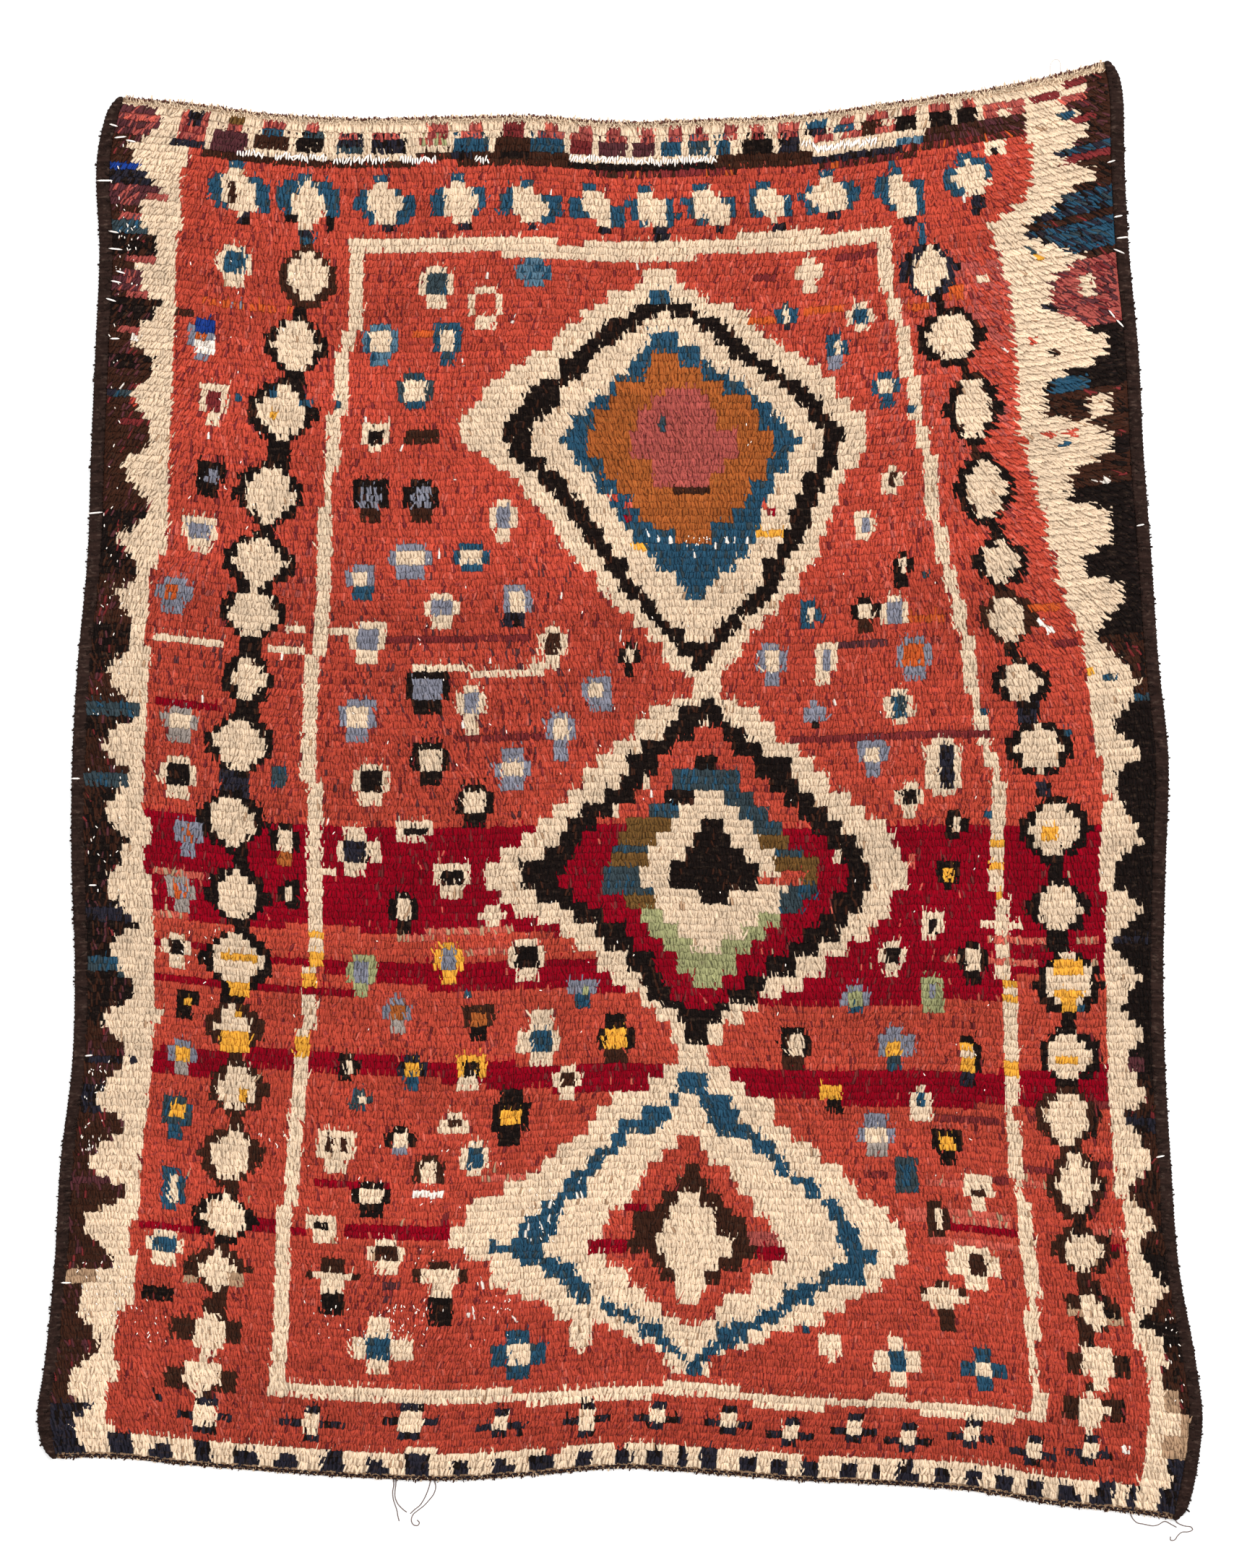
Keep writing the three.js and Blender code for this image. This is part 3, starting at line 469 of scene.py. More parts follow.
# Small marks over all else
MARKS = table("col row col_end row_end yarn", """
    12.8 181.2 14.5 181.9 navy | 17.6 118 23 119 gold | 18.8 122 21.6 123.6 gold |
    19.8 125.8 21.4 127.3 gold | 17.7 129 21.6 132 gold | 20.6 137.2 22.3 139.1 gold |
    131 116.8 135 118.6 gold | 131.4 121.2 134.8 122.4 gold | 132.2 122.4 134 124 gold |
    131 130 134.4 131.4 gold | 128.6 99.4 131.3 100.7 gold | 124 24 126.2 25.4 ivory |
    114.4 26.6 117 28 rust | 120 25.4 121.9 26.8 rust | 133.6 38.8 139 41 blue | 22.6 41.2 24.4 42 gold |
    16.6 9 17.6 11.6 brown | 25.4 12.6 27 14.4 black | 30.6 12.9 32 14.6 black | 11.8 29 14.6 31 royal |
    12 32.4 14.6 33.6 white | 2 26 5 27.2 rose | 0.5 23.4 3.6 25.6 plum | 1 14.6 3.6 15.8 rose |
    1.5 43.6 5 45 maroon | 4.6 11.6 8 13 rose | 10 0.4 11.7 1.8 navy | 110.4 2.4 112.6 3.4 rose |
    49.2 4 51 5 navy | 31.6 3.4 35.6 4.4 teal | 2.2 21 6.4 22 rose | 1.4 31.4 4 32.4 rose |
    3 32 4.4 33 white | 10.3 166 13.8 167.6 black | 59.1 183.2 59.9 185.2 navy |
    41.6 162.8 42.4 163.6 plum | 41.2 165.4 42 166.4 plum | 95.1 169.1 96.1 170 blue | 18 39 19 40 blue |
    31.6 38.6 32.6 39.6 blue | 113 41 114 42 blue | 121 97 122 98 blue | 50.9 122 51.8 123 blue |
    114 63.6 115 64.6 teal | 120.6 83 121.6 84 blue | 111.2 103.6 112.2 104.4 pink |
    134.2 122.6 135.2 123.5 blue | 23 38 23.8 39 blue | 27.6 39 28.4 40 blue | 131.5 86 133 87 blue |
    91 56.5 95 57.6 gold | 74 59.3 76 60.2 gold | 71 52 72 53 red | 72.6 53.4 73.6 54.4 red |
    73.4 55.4 74.4 56.4 crimson | 92 53 93 54 red | 93 54.4 94 55.4 crimson | 80 51 85 52 brown |
    77.6 41.5 78.6 42.5 teal | 116.5 158 117.5 161 ivory | 119.6 158 120.6 161 ivory | 91 106 94 107 red |
    94.4 104.8 96.6 106.6 red | 131.6 20.6 132.5 21.5 teal | 132.6 21.6 133.6 22.5 gold |
    136 78.3 137 79.2 gold | 138.5 78.6 139.5 79.6 teal | 133 0.7 137 2.2 maroon | 137 2.5 141 3.4 rose |
    138 0 141 0.7 maroon | 137 4 139 5 blue | 139 5 142 6 maroon | 0 40 1.5 41.4 navy |
    2.5 41 4.5 42 red | 0.5 120.2 1.3 121.2 blue | 2.7 120.2 4 121.2 blue | 4.3 122 5.2 123 blue |
    139 26 141 28.6 ivory | 134 28.6 135 29.6 navy | 133 46 134 47 red | 135 47 136 48 blue |
    136.4 46.4 137.4 47.2 red | 139.3 42 142.5 45 ivory | 139.7 53 141.2 54.2 white |
    134 34.6 135 35.6 brown | 130.6 32.6 131.6 33.6 red | 129.5 71 131 72 white | 130.6 72 132 73 white |
    132 73.6 135 74.5 maroon | 5.6 133.6 6.6 134.8 navy | 0.3 164.2 3.6 166.2 tan |
    141 174.4 143 177 tan | 142.6 177 144 181 tan | 140.5 180.4 143.6 183 tan | 126 6 129 8.5 ivory |
    127 6.6 128 7.8 navy | 124.6 13.6 125.4 14.6 navy | 124 15.2 125 16.2 navy | 15 163.4 17.2 165.4 tan |
    21.2 163 23.4 165 tan | 15.2 162.3 17.3 163.6 brown | 21.8 161.6 24 163 brown |
    130 162.3 131.4 163.5 brown | 130.2 163.5 132 165.3 tan | 135.4 162.6 137 164 brown |
    134.8 164.6 136.6 165.6 tan | 34 142.6 35 146.4 ivory | 33 145.4 36.4 147 ivory |
    11.4 141.6 14.4 143.2 teal | 118 129.6 120 131.4 ivory | 45.3 149.5 48.6 150.6 white |
    119 148.8 120.6 149.8 brown | 135.6 182.4 137.4 183.4 white | 141 129.6 143 131.6 plum""")

# How the shade drifts down the rug: the ground's on both sides, as its dye lots changed, and the ivory's,
# only darker in the upper half and lighter towards the bottom
SHADE_DRIFT = table("row left right ivory", """
    0 0 0 0 | 20 0 0.1 -0.05 | 22 -0.2 0.1 -0.05 | 30 -0.1 0 -0.1 | 36 0.1 0.2 -0.1 | 50 0 0.25 -0.1 |
    62 0.1 0.2 -0.1 | 66 -0.1 -0.1 -0.1 | 72 -0.25 -0.1 -0.15 | 96 -0.35 0.1 -0.2 | 100 0 0 -0.2 |
    132 0 0 -0.1 | 138 -0.2 -0.1 0 | 144 0 -0.1 0.1 | 154 0.1 0.1 0.3 | 178 -0.1 0 0.35 |
    181 -0.35 -0.2 0.4 | 190 -0.35 -0.3 0.4""")

# Odd strands of another wool among the ground's: box of knots, the ground, its flecks and their share
FLECKS = table("col row col_end row_end ground yarn share", """
    70 5 132 8 maroon rust 0.1 | 70 5 132 8 maroon brown 0.4 | 101 3 132 6 brown plum 0.35 |
    132 8 144 24 blue navy 0.5 | 134 23 144 34 rose plum 0.25 | 134 23 144 34 rose maroon 0.25 |
    12 25 27 28 rust red 0.45 | 34 48 48 57 slate black 0.3 | 12 48 17 55 slate black 0.3 |
    43 1 49 4 sage rose 0.3 | 0 0 144 6 rose maroon 0.15 | 0 0 144 6 rose pink 0.3 |
    0 0 144 100 red maroon 0.05 | 0 0 144 100 red pink 0.06 | 0 100 144 190 red maroon 0.025 |
    0 100 144 190 red pink 0.035 | 0 20 40 100 red maroon 0.04 | 80 20 144 70 red pink 0.07 |
    0 0 144 100 red white 0.0015 | 110 18 128 60 red rose 0.2 | 117 22 130 34 red rose 0.5 |
    8 72 60 79 red plum 0.09 | 30 60 66 100 red plum 0.03 | 8 60 30 72 red rose 0.12 |
    0 0 144 190 crimson maroon 0.06 | 0 0 144 190 crimson pink 0.006 | 0 104 144 120 pink tan 0.3 |
    0 145 144 156 pink tan 0.15 | 8 20 20 125 rust slate 0.4 | 0 0 144 190 ivory tan 0.012 |
    0 0 9 60 plum rose 0.3 | 0 0 9 6 rose plum 0.35 | 0 0 12 190 brown plum 0.12 |
    0 0 12 190 black brown 0.35 | 0 0 12 190 brown maroon 0.05 | 132 0 144 190 brown maroon 0.05 |
    134 0 144 12 brown plum 0.3 | 132 0 144 190 brown black 0.2 | 0 0 8 190 black plum 0.08 |
    0 0 144 190 blue teal 0.2 | 0 0 144 190 teal blue 0.2 | 0 0 8 110 brown white 0.004 |
    12 20 132 180 black brown 0.12 | 58 148 68 158 blue white 0.1 | 76 57 92 62 blue white 0.05 |
    45 158 60 171 red white 0.02 | 36 158 62 171 red maroon 0.06 | 0 0 144 190 navy black 0.3 |
    0 0 144 190 sky blue 0.25""")

# Small figures of the field: kind, box of knots, and the yarns of ring, centre and stem
KEYS = table("col row col_end row_end ring centre stem", """
    15 18 20 24.5 ivory blue ivory | 11 29 15.3 35.4 slate rust slate |
    12.8 37.5 17 44.5 ivory maroon ivory | 12.6 48.5 16.6 54 black slate black |
    10.5 56.5 15.8 62.3 ivory slate ivory | 7.8 65.7 13.2 70.6 slate rust slate |
    10 84 14.6 89 grey ivory grey | 10 91 14.7 97.2 ivory black ivory |
    11.7 100.3 16.3 105 slate rust slate | 25.3 99 29 104.7 black ivory ochre |
    10.6 108.2 15 112.8 grey rust grey | 25.9 107 29.5 111.5 black ivory black |
    10.4 116 14.2 120.8 ivory black ivory | 11.7 123.5 15.2 128 black gold black |
    11 130.9 15.1 136.3 slate gold grey | 10.6 138.7 15.1 145 teal gold blue |
    10.4 158.1 15 163.2 ivory blue ivory | 43.8 19.6 49 26.5 ivory teal ivory |
    51 23 55.9 29 ivory red ivory | 36.3 27.8 41.2 34.5 sky ivory sky |
    45.6 28.3 50.4 34.4 blue ivory blue | 41 35.4 46.3 40.4 teal ivory blue |
    36.1 41.5 40.4 46.5 ivory black ivory | 35.4 49.5 39.9 56.5 black slate brown |
    42.1 49.8 47.1 56 black slate brown | 53.7 53.3 58.3 59.5 ivory slate ivory |
    40.3 58.7 46 64 slate ivory slate | 34 62.3 38.5 67 slate ivory blue |
    45.2 66 49.7 70.8 ivory slate ivory | 55.6 65 59.7 70.8 slate ivory navy |
    35.2 70.2 40.5 76 ivory slate ivory | 60.7 71.4 64.9 77.2 ivory brown ivory |
    43.3 76.6 48.9 83.5 black slate black | 50.3 79 54.3 85.6 ivory slate ivory |
    67.1 77.7 71.5 82.7 slate ivory slate | 71.9 73 75 77.7 black ivory black |
    33.8 81.3 39.5 87.4 slate ivory slate | 61.8 83 66 90 slate ivory slate |
    43.5 87 49 93.4 black ivory black | 35.7 90 41 96 ivory black ivory |
    50.2 93.3 54.7 99.3 black ivory black | 46.9 103.5 52 109 ivory black ivory |
    40.8 108 45 113.6 black ivory black | 46.8 114.8 51.2 121 gold slate gold |
    56.8 114.8 61.6 121.4 ivory black ivory | 35.1 117.4 39.3 122.6 sage slate sage |
    40 122.8 43.7 128.3 slate ochre grey | 51 123.5 54.7 128.6 brown ochre black |
    65.5 120.6 69.2 124.8 slate sage blue | 33.5 131.3 37.2 135.2 black ivory black |
    41.7 131.2 45.7 135.9 navy gold blue | 49.6 130.6 53.8 136.3 gold black ivory |
    62.9 133 67.1 138.1 ivory brown ivory | 32.3 141.6 36.8 147.8 ivory brown ivory |
    41.3 141 44.9 145.5 black ivory slate | 37.2 148.7 41.7 153.6 black ivory black |
    31.3 153.6 35.4 158.1 ivory black ivory | 39.2 157.3 43.7 161.8 ivory brown ivory |
    95.2 25 98 29 blue ivory navy | 101.5 29.8 105 35 blue ivory slate | 108.4 36 112 41 blue ivory blue |
    108.7 49 111.8 53.3 ivory brown ivory | 104.5 54.7 108 59.5 ivory slate ivory |
    109.8 60.7 113 65.8 black ivory black | 104.1 67 107.6 71.7 black ivory brown |
    91.3 72.9 95 79 slate ivory slate | 98.6 72.6 102 79 ivory slate ivory |
    110.4 72.9 115.1 78.7 slate rust slate | 97.2 81 99.8 85.3 slate slate black |
    104.1 86.6 107.6 92 slate ivory slate | 108.7 93 112.7 97.6 ivory black ivory |
    115.7 97.2 119 101.5 black ivory black | 107.2 115.4 110.7 119.7 ivory black ivory |
    118.2 114.7 121.9 121.2 black ivory black | 112.5 120.3 116.5 125.3 sage slate sage |
    102.2 120.8 106 125.5 slate sage blue | 93.5 126.8 98.1 133.4 black ivory brown |
    117.5 128.4 120.6 135.4 black gold navy | 99 134.6 102.3 139 gold gold black |
    110.7 134.7 114.3 139.6 ivory blue ivory | 114 140.6 117.6 146.5 black gold black |
    117.8 146.6 121.6 152.4 ivory ivory ivory | 112.6 151.4 116.1 156.5 brown ivory brown |
    115.4 156.9 121.6 162.9 ivory brown ivory""")
HOOPS = table("col row col_end row_end ring centre", """
    24.6 91 27.5 94 teal teal | 11.7 149.1 15.1 154.7 blue ivory | 58.3 18.6 62.9 23.3 sky sky |
    49.2 59 53.8 63.4 blue ivory | 41.5 97.5 46.7 101.2 ivory black | 53 109.8 56.8 112.7 ivory ivory |
    35.6 135.9 39.1 139.3 teal ivory | 51 143.4 54.8 147.6 ivory blue | 45.4 145.1 49 149.4 brown ivory |
    65.2 168.5 67.6 174 ivory ivory | 96.6 66.8 100.2 70.7 blue ivory | 108 67 112 71.5 ivory slate |
    108 80.3 112 85.3 ivory teal | 113.5 86.7 117.7 95 ivory navy | 115.3 103.5 118.2 107.8 black gold |
    112.5 110.6 116.1 114.8 ivory black | 108.5 145.3 112.3 149.8 teal blue |
    97.5 169.5 99.7 174.3 ivory ivory""")
CROSSES = table("col row col_end row_end ring centre stem", """
    54.9 88.4 60.2 93.6 slate ivory slate | 33.7 98.6 39.6 106.3 ivory navy ivory |
    57.9 125.4 64.3 133 ivory blue ivory | 69 125.8 73.8 132.8 black gold brown |
    54.7 136.1 60 143.9 black gold black | 48 138.9 52 142.5 ivory brown ivory |
    36.8 168 44.8 176.5 ivory blue ivory | 54.9 170.2 62.3 177 blue ivory blue |
    98.2 18.6 102.4 23.6 ivory ivory ivory | 105 25.5 109 30.5 ivory blue ivory |
    106.8 126.7 111.8 132.7 slate gold teal | 104.1 138.8 109.1 144.8 slate ivory grey |
    103.8 170.1 110.2 177.3 ivory blue ivory | 115 170.5 121 177.3 blue ivory blue""")
DOLLS = table("col row col_end row_end ring centre stem", """
    31.2 159.9 37.8 168 brown ivory black | 45.2 159.6 51.6 168.8 brown ivory black |
    110.8 162 116.6 169.2 brown ivory brown""")

# Lower border: small squares and how far the dark bars reach from their sides
SQUARES = table("left right top bottom bar", """
    18 21 182 185 2.4 | 32 34 182 185 2.6 | 44 47 181 184 2.4 | 56 58 182 184 2.4 | 67 69 182 185 2.4 |
    76 78 182 184 1.6 | 85 87 182 184 1.6 | 93 95 183 185 1.6 | 101 103 182 184 1.6 |
    108 110 183 185 1.6 | 116 118 182 184 1.6 | 124 126 183 185 1.6 | 131 133 182 184 1.6""")
LOW_LOZENGES = table("col row wide high wing row_wing", """
    18.9 172 2.3 2.3 2.3 171.6 | 18.5 178.1 2.2 1.9 2.3 178.6 | 132.9 171.7 1.7 2.5 2.4 171.3 |
    131.6 177.8 1.9 2.1 2.1 177.7""")


def read(rows, key, value, at):
    """A table's value on the straight line between its rows"""
    return np.interp(at, column(rows, key), column(rows, value))


def row_at(rows, at):
    """Which row of a table holds at a row of knots: each holds until half way to the next"""
    keys = column(rows, "row")
    return np.searchsorted((keys[1:] + keys[:-1]) / 2, at)


def stepped(rows, name, at, slope):
    """A table's value held row by row, so that edges are stepped, or slope in part"""
    held = column(rows, name)[row_at(rows, at)]
    return held + slope * (read(rows, "row", name, at) - held)


def within(cells, start, end):
    """Which knots lie between two lines, or the nearest when the lines are too close"""
    inside = (cells > start) & (cells < end)
    return inside if inside.any() else np.abs(cells - (start + end) / 2) <= 0.5


def is_yarn(yarn, *names):
    """Which of some knots or strands are of these yarns"""
    return np.isin(yarn, [YARNS.index(name) for name in names])


class Chart:
    """Which yarn each knot is tied in, painted shape by shape as the weaver counts them"""

    # How far a stepped shape goes on past the middle of its first and last row, at most
    BEFORE, AFTER = 0.6, 0.8
    # Lozenges: how round they are, and how far their outline stands out at the sides and the ends
    ROUND, WING, CAP, EDGE = 1.5, 1.6, 0.8, 0.1
    # Winged lozenges: roundness, edge, the wings' height and step, the tips' half width, start and length
    WINGED_ROUND, WINGED_EDGE, WING_HEIGHT, WING_STEP = 1.8, 0.25, 0.72, 0.5
    TIP_HALF, TIP_START, TIP_LONG = 0.9, 0.6, 1.1
    # Hoops: the rounded corners' height and width, the ring's width, and the least half width of a centre
    CORNER_HIGH, CORNER_WIDE, RIM, LEAST_CENTRE = 0.9, 0.8, 1.05, 0.6
    # Keys: the head's share of the height and its least height, the stem's share of the width and its least
    HEAD, LEAST_HEAD, STEM, LEAST_STEM = 0.64, 2.4, 0.29, 0.9

    def __init__(self, ground):
        self.yarn = np.full(CELL_COL.shape, YARNS.index(ground))

    def paint(self, where, yarn):
        """Ties the chosen knots in a yarn"""
        self.yarn[where] = YARNS.index(yarn)

    def box(self, col, row, col_end, row_end, yarn):
        """Every knot whose middle is in the box, or the nearest where the box is thinner than a knot"""
        self.paint(within(CELL_COL, col, col_end) & within(CELL_ROW, row, row_end), yarn)

    def boxes(self, rows):
        """A table of boxes"""
        for part in rows:
            self.box(part.col, part.row, part.col_end, part.row_end, part.yarn)

    def shape(self, rows, yarn, slope=0.0):
        """A stepped shape from a table of its left and right edges"""
        self.paint(self.between(rows, "left", "right", slope), yarn)

    def between(self, rows, left, right, slope=0.0):
        """Which knots lie between two of a table's columns"""
        keys = column(rows, "row")
        first = keys[0] - min(self.BEFORE, (keys[1] - keys[0]) / 2)
        last = keys[-1] + min(self.AFTER, (keys[-1] - keys[-2]) / 2)
        inside = (CELL_ROW > first) & (CELL_ROW < last)
        low, high = (stepped(rows, edge, CELL_ROW, slope) for edge in (left, right))
        return inside & (CELL_COL > low) & (CELL_COL < high)

    def line(self, rows, yarn, slope=0.0):
        """The two stepped lines of a medallion"""
        self.paint(self.between(rows, "a", "b", slope) | self.between(rows, "c", "d", slope), yarn)

    def lozenge(self, z, outline, wing=WING):
        """A rounded ivory lozenge in a dark outline that is thickest at its sides"""
        for more_wide, more_high, yarn in ((wing, self.CAP, outline), (self.EDGE, self.EDGE, "ivory")):
            across = (np.abs(CELL_COL - z.col) / (z.wide + more_wide)) ** self.ROUND
            self.paint(across + (np.abs(CELL_ROW - z.row) / (z.high + more_high)) ** self.ROUND < 1, yarn)

    def winged(self, z):
        """A leaning ivory lozenge between two wings, with a tip above and below"""
        depth = (CELL_ROW - z.row) / z.high
        away = CELL_COL - z.col - z.lean * depth
        for side, wing, row in ((-1, z.left, z.left_row), (1, z.right, z.right_row)):
            half = z.high * self.WING_HEIGHT - self.WING_STEP * (np.abs(away) > z.wide + wing / 2)
            tall = np.abs(CELL_ROW - z.row - row) < half
            self.paint(tall & (away * side > 0) & (away * side < z.wide + wing), z.yarn)
        for end, yarn in ((-1, z.yarn), (1, "navy")):
            tip = (depth * end > self.TIP_START) & (depth * end < 1 + self.TIP_LONG / z.high)
            self.paint(tip & (np.abs(away) < self.TIP_HALF), yarn)
        across = (np.abs(away) / (z.wide + self.WINGED_EDGE)) ** self.WINGED_ROUND
        self.paint(across + np.abs(depth) ** self.WINGED_ROUND < 1, "ivory")

    def hoop(self, f, high=None):
        """A rounded hoop round a centre, open at its foot where a height is given"""
        is_open = high is not None
        high = high if is_open else f.row_end - f.row
        half = (f.col_end - f.col) / 2
        away = np.abs(CELL_COL - (f.col + f.col_end) / 2)
        depth = CELL_ROW - f.row
        foot = high if is_open else high - self.CORNER_HIGH
        ends = (depth < self.CORNER_HIGH) | (depth > foot)
        inside = (depth > 0) & (depth < high) & (away < half)
        self.paint(inside & ~(ends & (away > half - self.CORNER_WIDE)), f.ring)
        core = (away < max(half - self.RIM, self.LEAST_CENTRE)) & (depth < foot)
        self.paint(core & (CELL_ROW > np.floor(f.row + 0.5) + 1.1), f.centre)

    def key(self, f):
        """An open hoop on a stem"""
        wide, high = f.col_end - f.col, f.row_end - f.row
        head = max(self.LEAST_HEAD, high * self.HEAD)
        self.hoop(f, head)
        depth = CELL_ROW - f.row
        stem = np.abs(CELL_COL - (f.col + f.col_end) / 2) < max(wide * self.STEM, self.LEAST_STEM)
        self.paint(stem & (depth >= head) & (depth < high), f.stem)

    def cross(self, f):
        """Four arms round a centre"""
        wide, high = f.col_end - f.col, f.row_end - f.row
        across = np.abs(CELL_COL - (f.col + f.col_end) / 2)
        down = CELL_ROW - (f.row + f.row_end) / 2
        upright = (across < wide * 0.18 + 0.25) & (np.abs(down) < high / 2)
        arms = (np.abs(down) < high * 0.17 + 0.2) & (across < wide / 2)
        self.paint(upright | arms, f.ring)
        self.paint(upright & (down > 0), f.stem)
        self.paint(upright & (np.abs(down) < high * 0.17 + 0.1), f.centre)

    def doll(self, f):
        """A knob, a body with spread arms, and a foot"""
        away = np.abs(CELL_COL - (f.col + f.col_end) / 2) / (f.col_end - f.col)
        depth = (CELL_ROW - f.row) / (f.row_end - f.row)
        self.paint((away < 0.2) & (depth > 0) & (depth < 0.22), f.ring)
        self.paint((away < 0.5) & (depth > 0.2) & (depth < 0.42), f.centre)
        self.paint((away > 0.34) & (away < 0.5) & (depth > 0.2) & (depth < 0.33), f.ring)
        self.paint((away < 0.26) & (depth >= 0.2) & (depth < 0.62), f.centre)
        self.paint((away < 0.2) & (depth >= 0.62) & (depth < 1), f.stem)


def weave_chart():
    """The whole rug's chart"""
    chart = Chart("red")
    for band in CRIMSON_BANDS:
        top, bottom = (read(band, "col", edge, CELL_COL) for edge in ("top", "bottom"))
        inside = (CELL_COL > band[0].col) & (CELL_COL < band[-1].col)
        chart.paint(inside & (CELL_ROW > top) & (CELL_ROW < bottom), "crimson")
    chart_frame(chart)
    chart.boxes(STREAKS)
    chart_medallions(chart)
    chart_ends(chart)
    chart_sides(chart)
    chart_chains(chart)
    for rows, draw in ((KEYS, chart.key), (HOOPS, chart.hoop), (CROSSES, chart.cross), (DOLLS, chart.doll)):
        for f in rows:
            draw(f)
    chart_squares(chart)
    chart.boxes(MARKS)
    return chart.yarn


def chart_ends(chart):
    """The ivory bands across both ends, with the small trees of the top one and the teeth of the other"""
    chart.paint(CELL_ROW < TOP_BAND_ROWS, "ivory")
    for t in TOP_TREES:
        chart.box(t.col, t.row, t.col_end, t.base_row, t.yarn)
        chart.box(t.col - 0.4, t.base_row - 1, t.col_end + 0.4, t.base_row, t.waist)
        chart.box(t.base_col, t.base_row, t.base_end, t.base_row_end, t.base)
    chart.boxes(TOP_LINE)
    chart.paint(CELL_ROW > read(BOTTOM_BAND, "col", "top", CELL_COL), "ivory")
    for tooth in BOTTOM_TEETH:
        top = tooth.top - 0.5
        taper = 0.6 + 0.5 * np.clip((CELL_ROW - top) / (ROWS - top), 0, 1)
        half = (tooth.col_end - tooth.col) / 2 * taper + 0.25
        chart.paint((CELL_ROW > top) & (np.abs(CELL_COL - (tooth.col + tooth.col_end) / 2) < half), "navy")


def chart_sides(chart):
    """The ivory side bands with their dark teeth"""
    band = CELL_COL < read(LEFT_BAND, "row", "edge", CELL_ROW)
    band |= CELL_COL > read(RIGHT_BAND, "row", "edge", CELL_ROW)
    chart.paint(band & ((CELL_ROW > TOP_BAND_ROWS) | (CELL_COL < 8)), "ivory")
    left = CELL_COL < read(LEFT_TEETH, "row", "reach", CELL_ROW)
    right = CELL_COL > read(RIGHT_TEETH, "row", "reach", CELL_ROW)
    for teeth, wool in ((left, LEFT_TEETH_WOOL), (right, RIGHT_TEETH_WOOL)):
        for part in wool:
            chart.paint(teeth & (CELL_ROW > part.row), part.yarn)


def chart_chains(chart):
    """The lozenges up both sides and along the top, with the ties between them"""
    chart.boxes(TIES)
    for z in LOZENGES:
        chart.lozenge(z, z.outline)
    for z in TOP_LOZENGES:
        chart.winged(z)
    for z in LOW_LOZENGES:
        reach = z.wide + z.wing
        chart.box(z.col - reach, z.row_wing - 1.8, z.col + reach, z.row_wing + 1.5, "brown")
        chart.lozenge(z, "ivory", 0)
        chart.box(z.col - z.wide, z.row - z.high, z.col + z.wide, z.row + z.high * 0.5, "ivory")


def chart_frame(chart):
    """The ivory line round the field"""
    left, right = (read(rows, "row", "edge", CELL_ROW) for rows in (FRAME_LEFT, FRAME_RIGHT))
    sides = {
        "left": (CELL_COL > left) & (CELL_COL < left + FRAME_WIDTH),
        "right": (CELL_COL > right) & (CELL_COL < right + FRAME_WIDTH - 0.2),
    }
    for side in sides.values():
        chart.paint(side & (CELL_ROW > 16.2) & (CELL_ROW < 180.4), "ivory")
    for rows, width, ends in (
            (FRAME_TOP, FRAME_DEPTH, FRAME_TOP_ENDS), (FRAME_BOTTOM, FRAME_BOTTOM_DEPTH, FRAME_BOTTOM_ENDS)):
        level = np.abs(CELL_ROW - read(rows, "col", "middle", CELL_COL)) < width / 2
        chart.paint(level & within(CELL_COL, *ends), "ivory")
    for part in FRAME_GOLD:
        chart.paint(sides[part.side] & (CELL_ROW > part.row) & (CELL_ROW < part.row_end), "gold")
    chart.boxes(FRAME_SPURS)


def chart_medallions(chart):
    """The three joined medallions, from the outside in"""
    chart.shape(FIRST_IVORY, "ivory", 0.5)
    chart.line(FIRST_LINE, "black", 0.6)
    chart.boxes(FIRST_KNOB)
    chart.shape(FIRST_BLUE, "blue", 0.3)
    chart.shape(FIRST_OCHRE, "ochre")
    chart.shape(FIRST_PINK, "rose")
    chart.shape(SECOND_IVORY, "ivory")
    ground = chart.between(SECOND_LINE[2:-2], "b", "c")
    chart.paint(ground, "crimson")
    chart.paint(ground & (CELL_ROW < SECOND_RED_END), "red")
    chart.line(SECOND_LINE, "black")
    band = chart.between(SECOND_RING, "left", "right")
    for k, part in enumerate(SECOND_RING):
        here = band & (row_at(SECOND_RING, CELL_ROW) == k)
        chart.paint(here, part.yarn)
        chart.paint(here & (CELL_COL > SECOND_MIDDLE), part.right_yarn)
    chart.shape(SECOND_HEART, "ivory")
    chart.shape(SECOND_CROSS, "black")
    chart.shape(THIRD_IVORY, "ivory")
    chart.line(THIRD_LINE, "blue")
    chart.boxes(THIRD_KNOB)
    chart.shape(THIRD_RED, "red")
    chart.boxes(THIRD_STREAKS)
    chart.shape(THIRD_BROWN, "brown")
    chart.shape(THIRD_HEART, "ivory")
    chart.boxes(THIRD_LEFT_TIP)


def chart_squares(chart):
    """The small squares of the lower border"""
    for s in SQUARES:
        middle = (s.top + s.bottom) // 2
        chart.box(s.left - s.bar, middle, s.right + s.bar, middle + 1, "navy")
        chart.box(s.left, s.top - 1, s.right, s.bottom + 1, "navy")
        chart.box(s.left, s.top, s.right, s.bottom, "ivory")


def dye(label, red, green, blue):
    """A wool colour that a user can change, from the screen shade 0 to 255 of each light"""
    shade = [part / 255 for part in (red, green, blue)]
    light = [part / 12.92 if part < 0.04045 else ((part + 0.055) / 1.055) ** 2.4 for part in shade]
    return FloatVectorProperty(
        name=label, description=f"Colour of the {label.lower()}", subtype="COLOR", size=3,
        min=0, max=1, default=light)


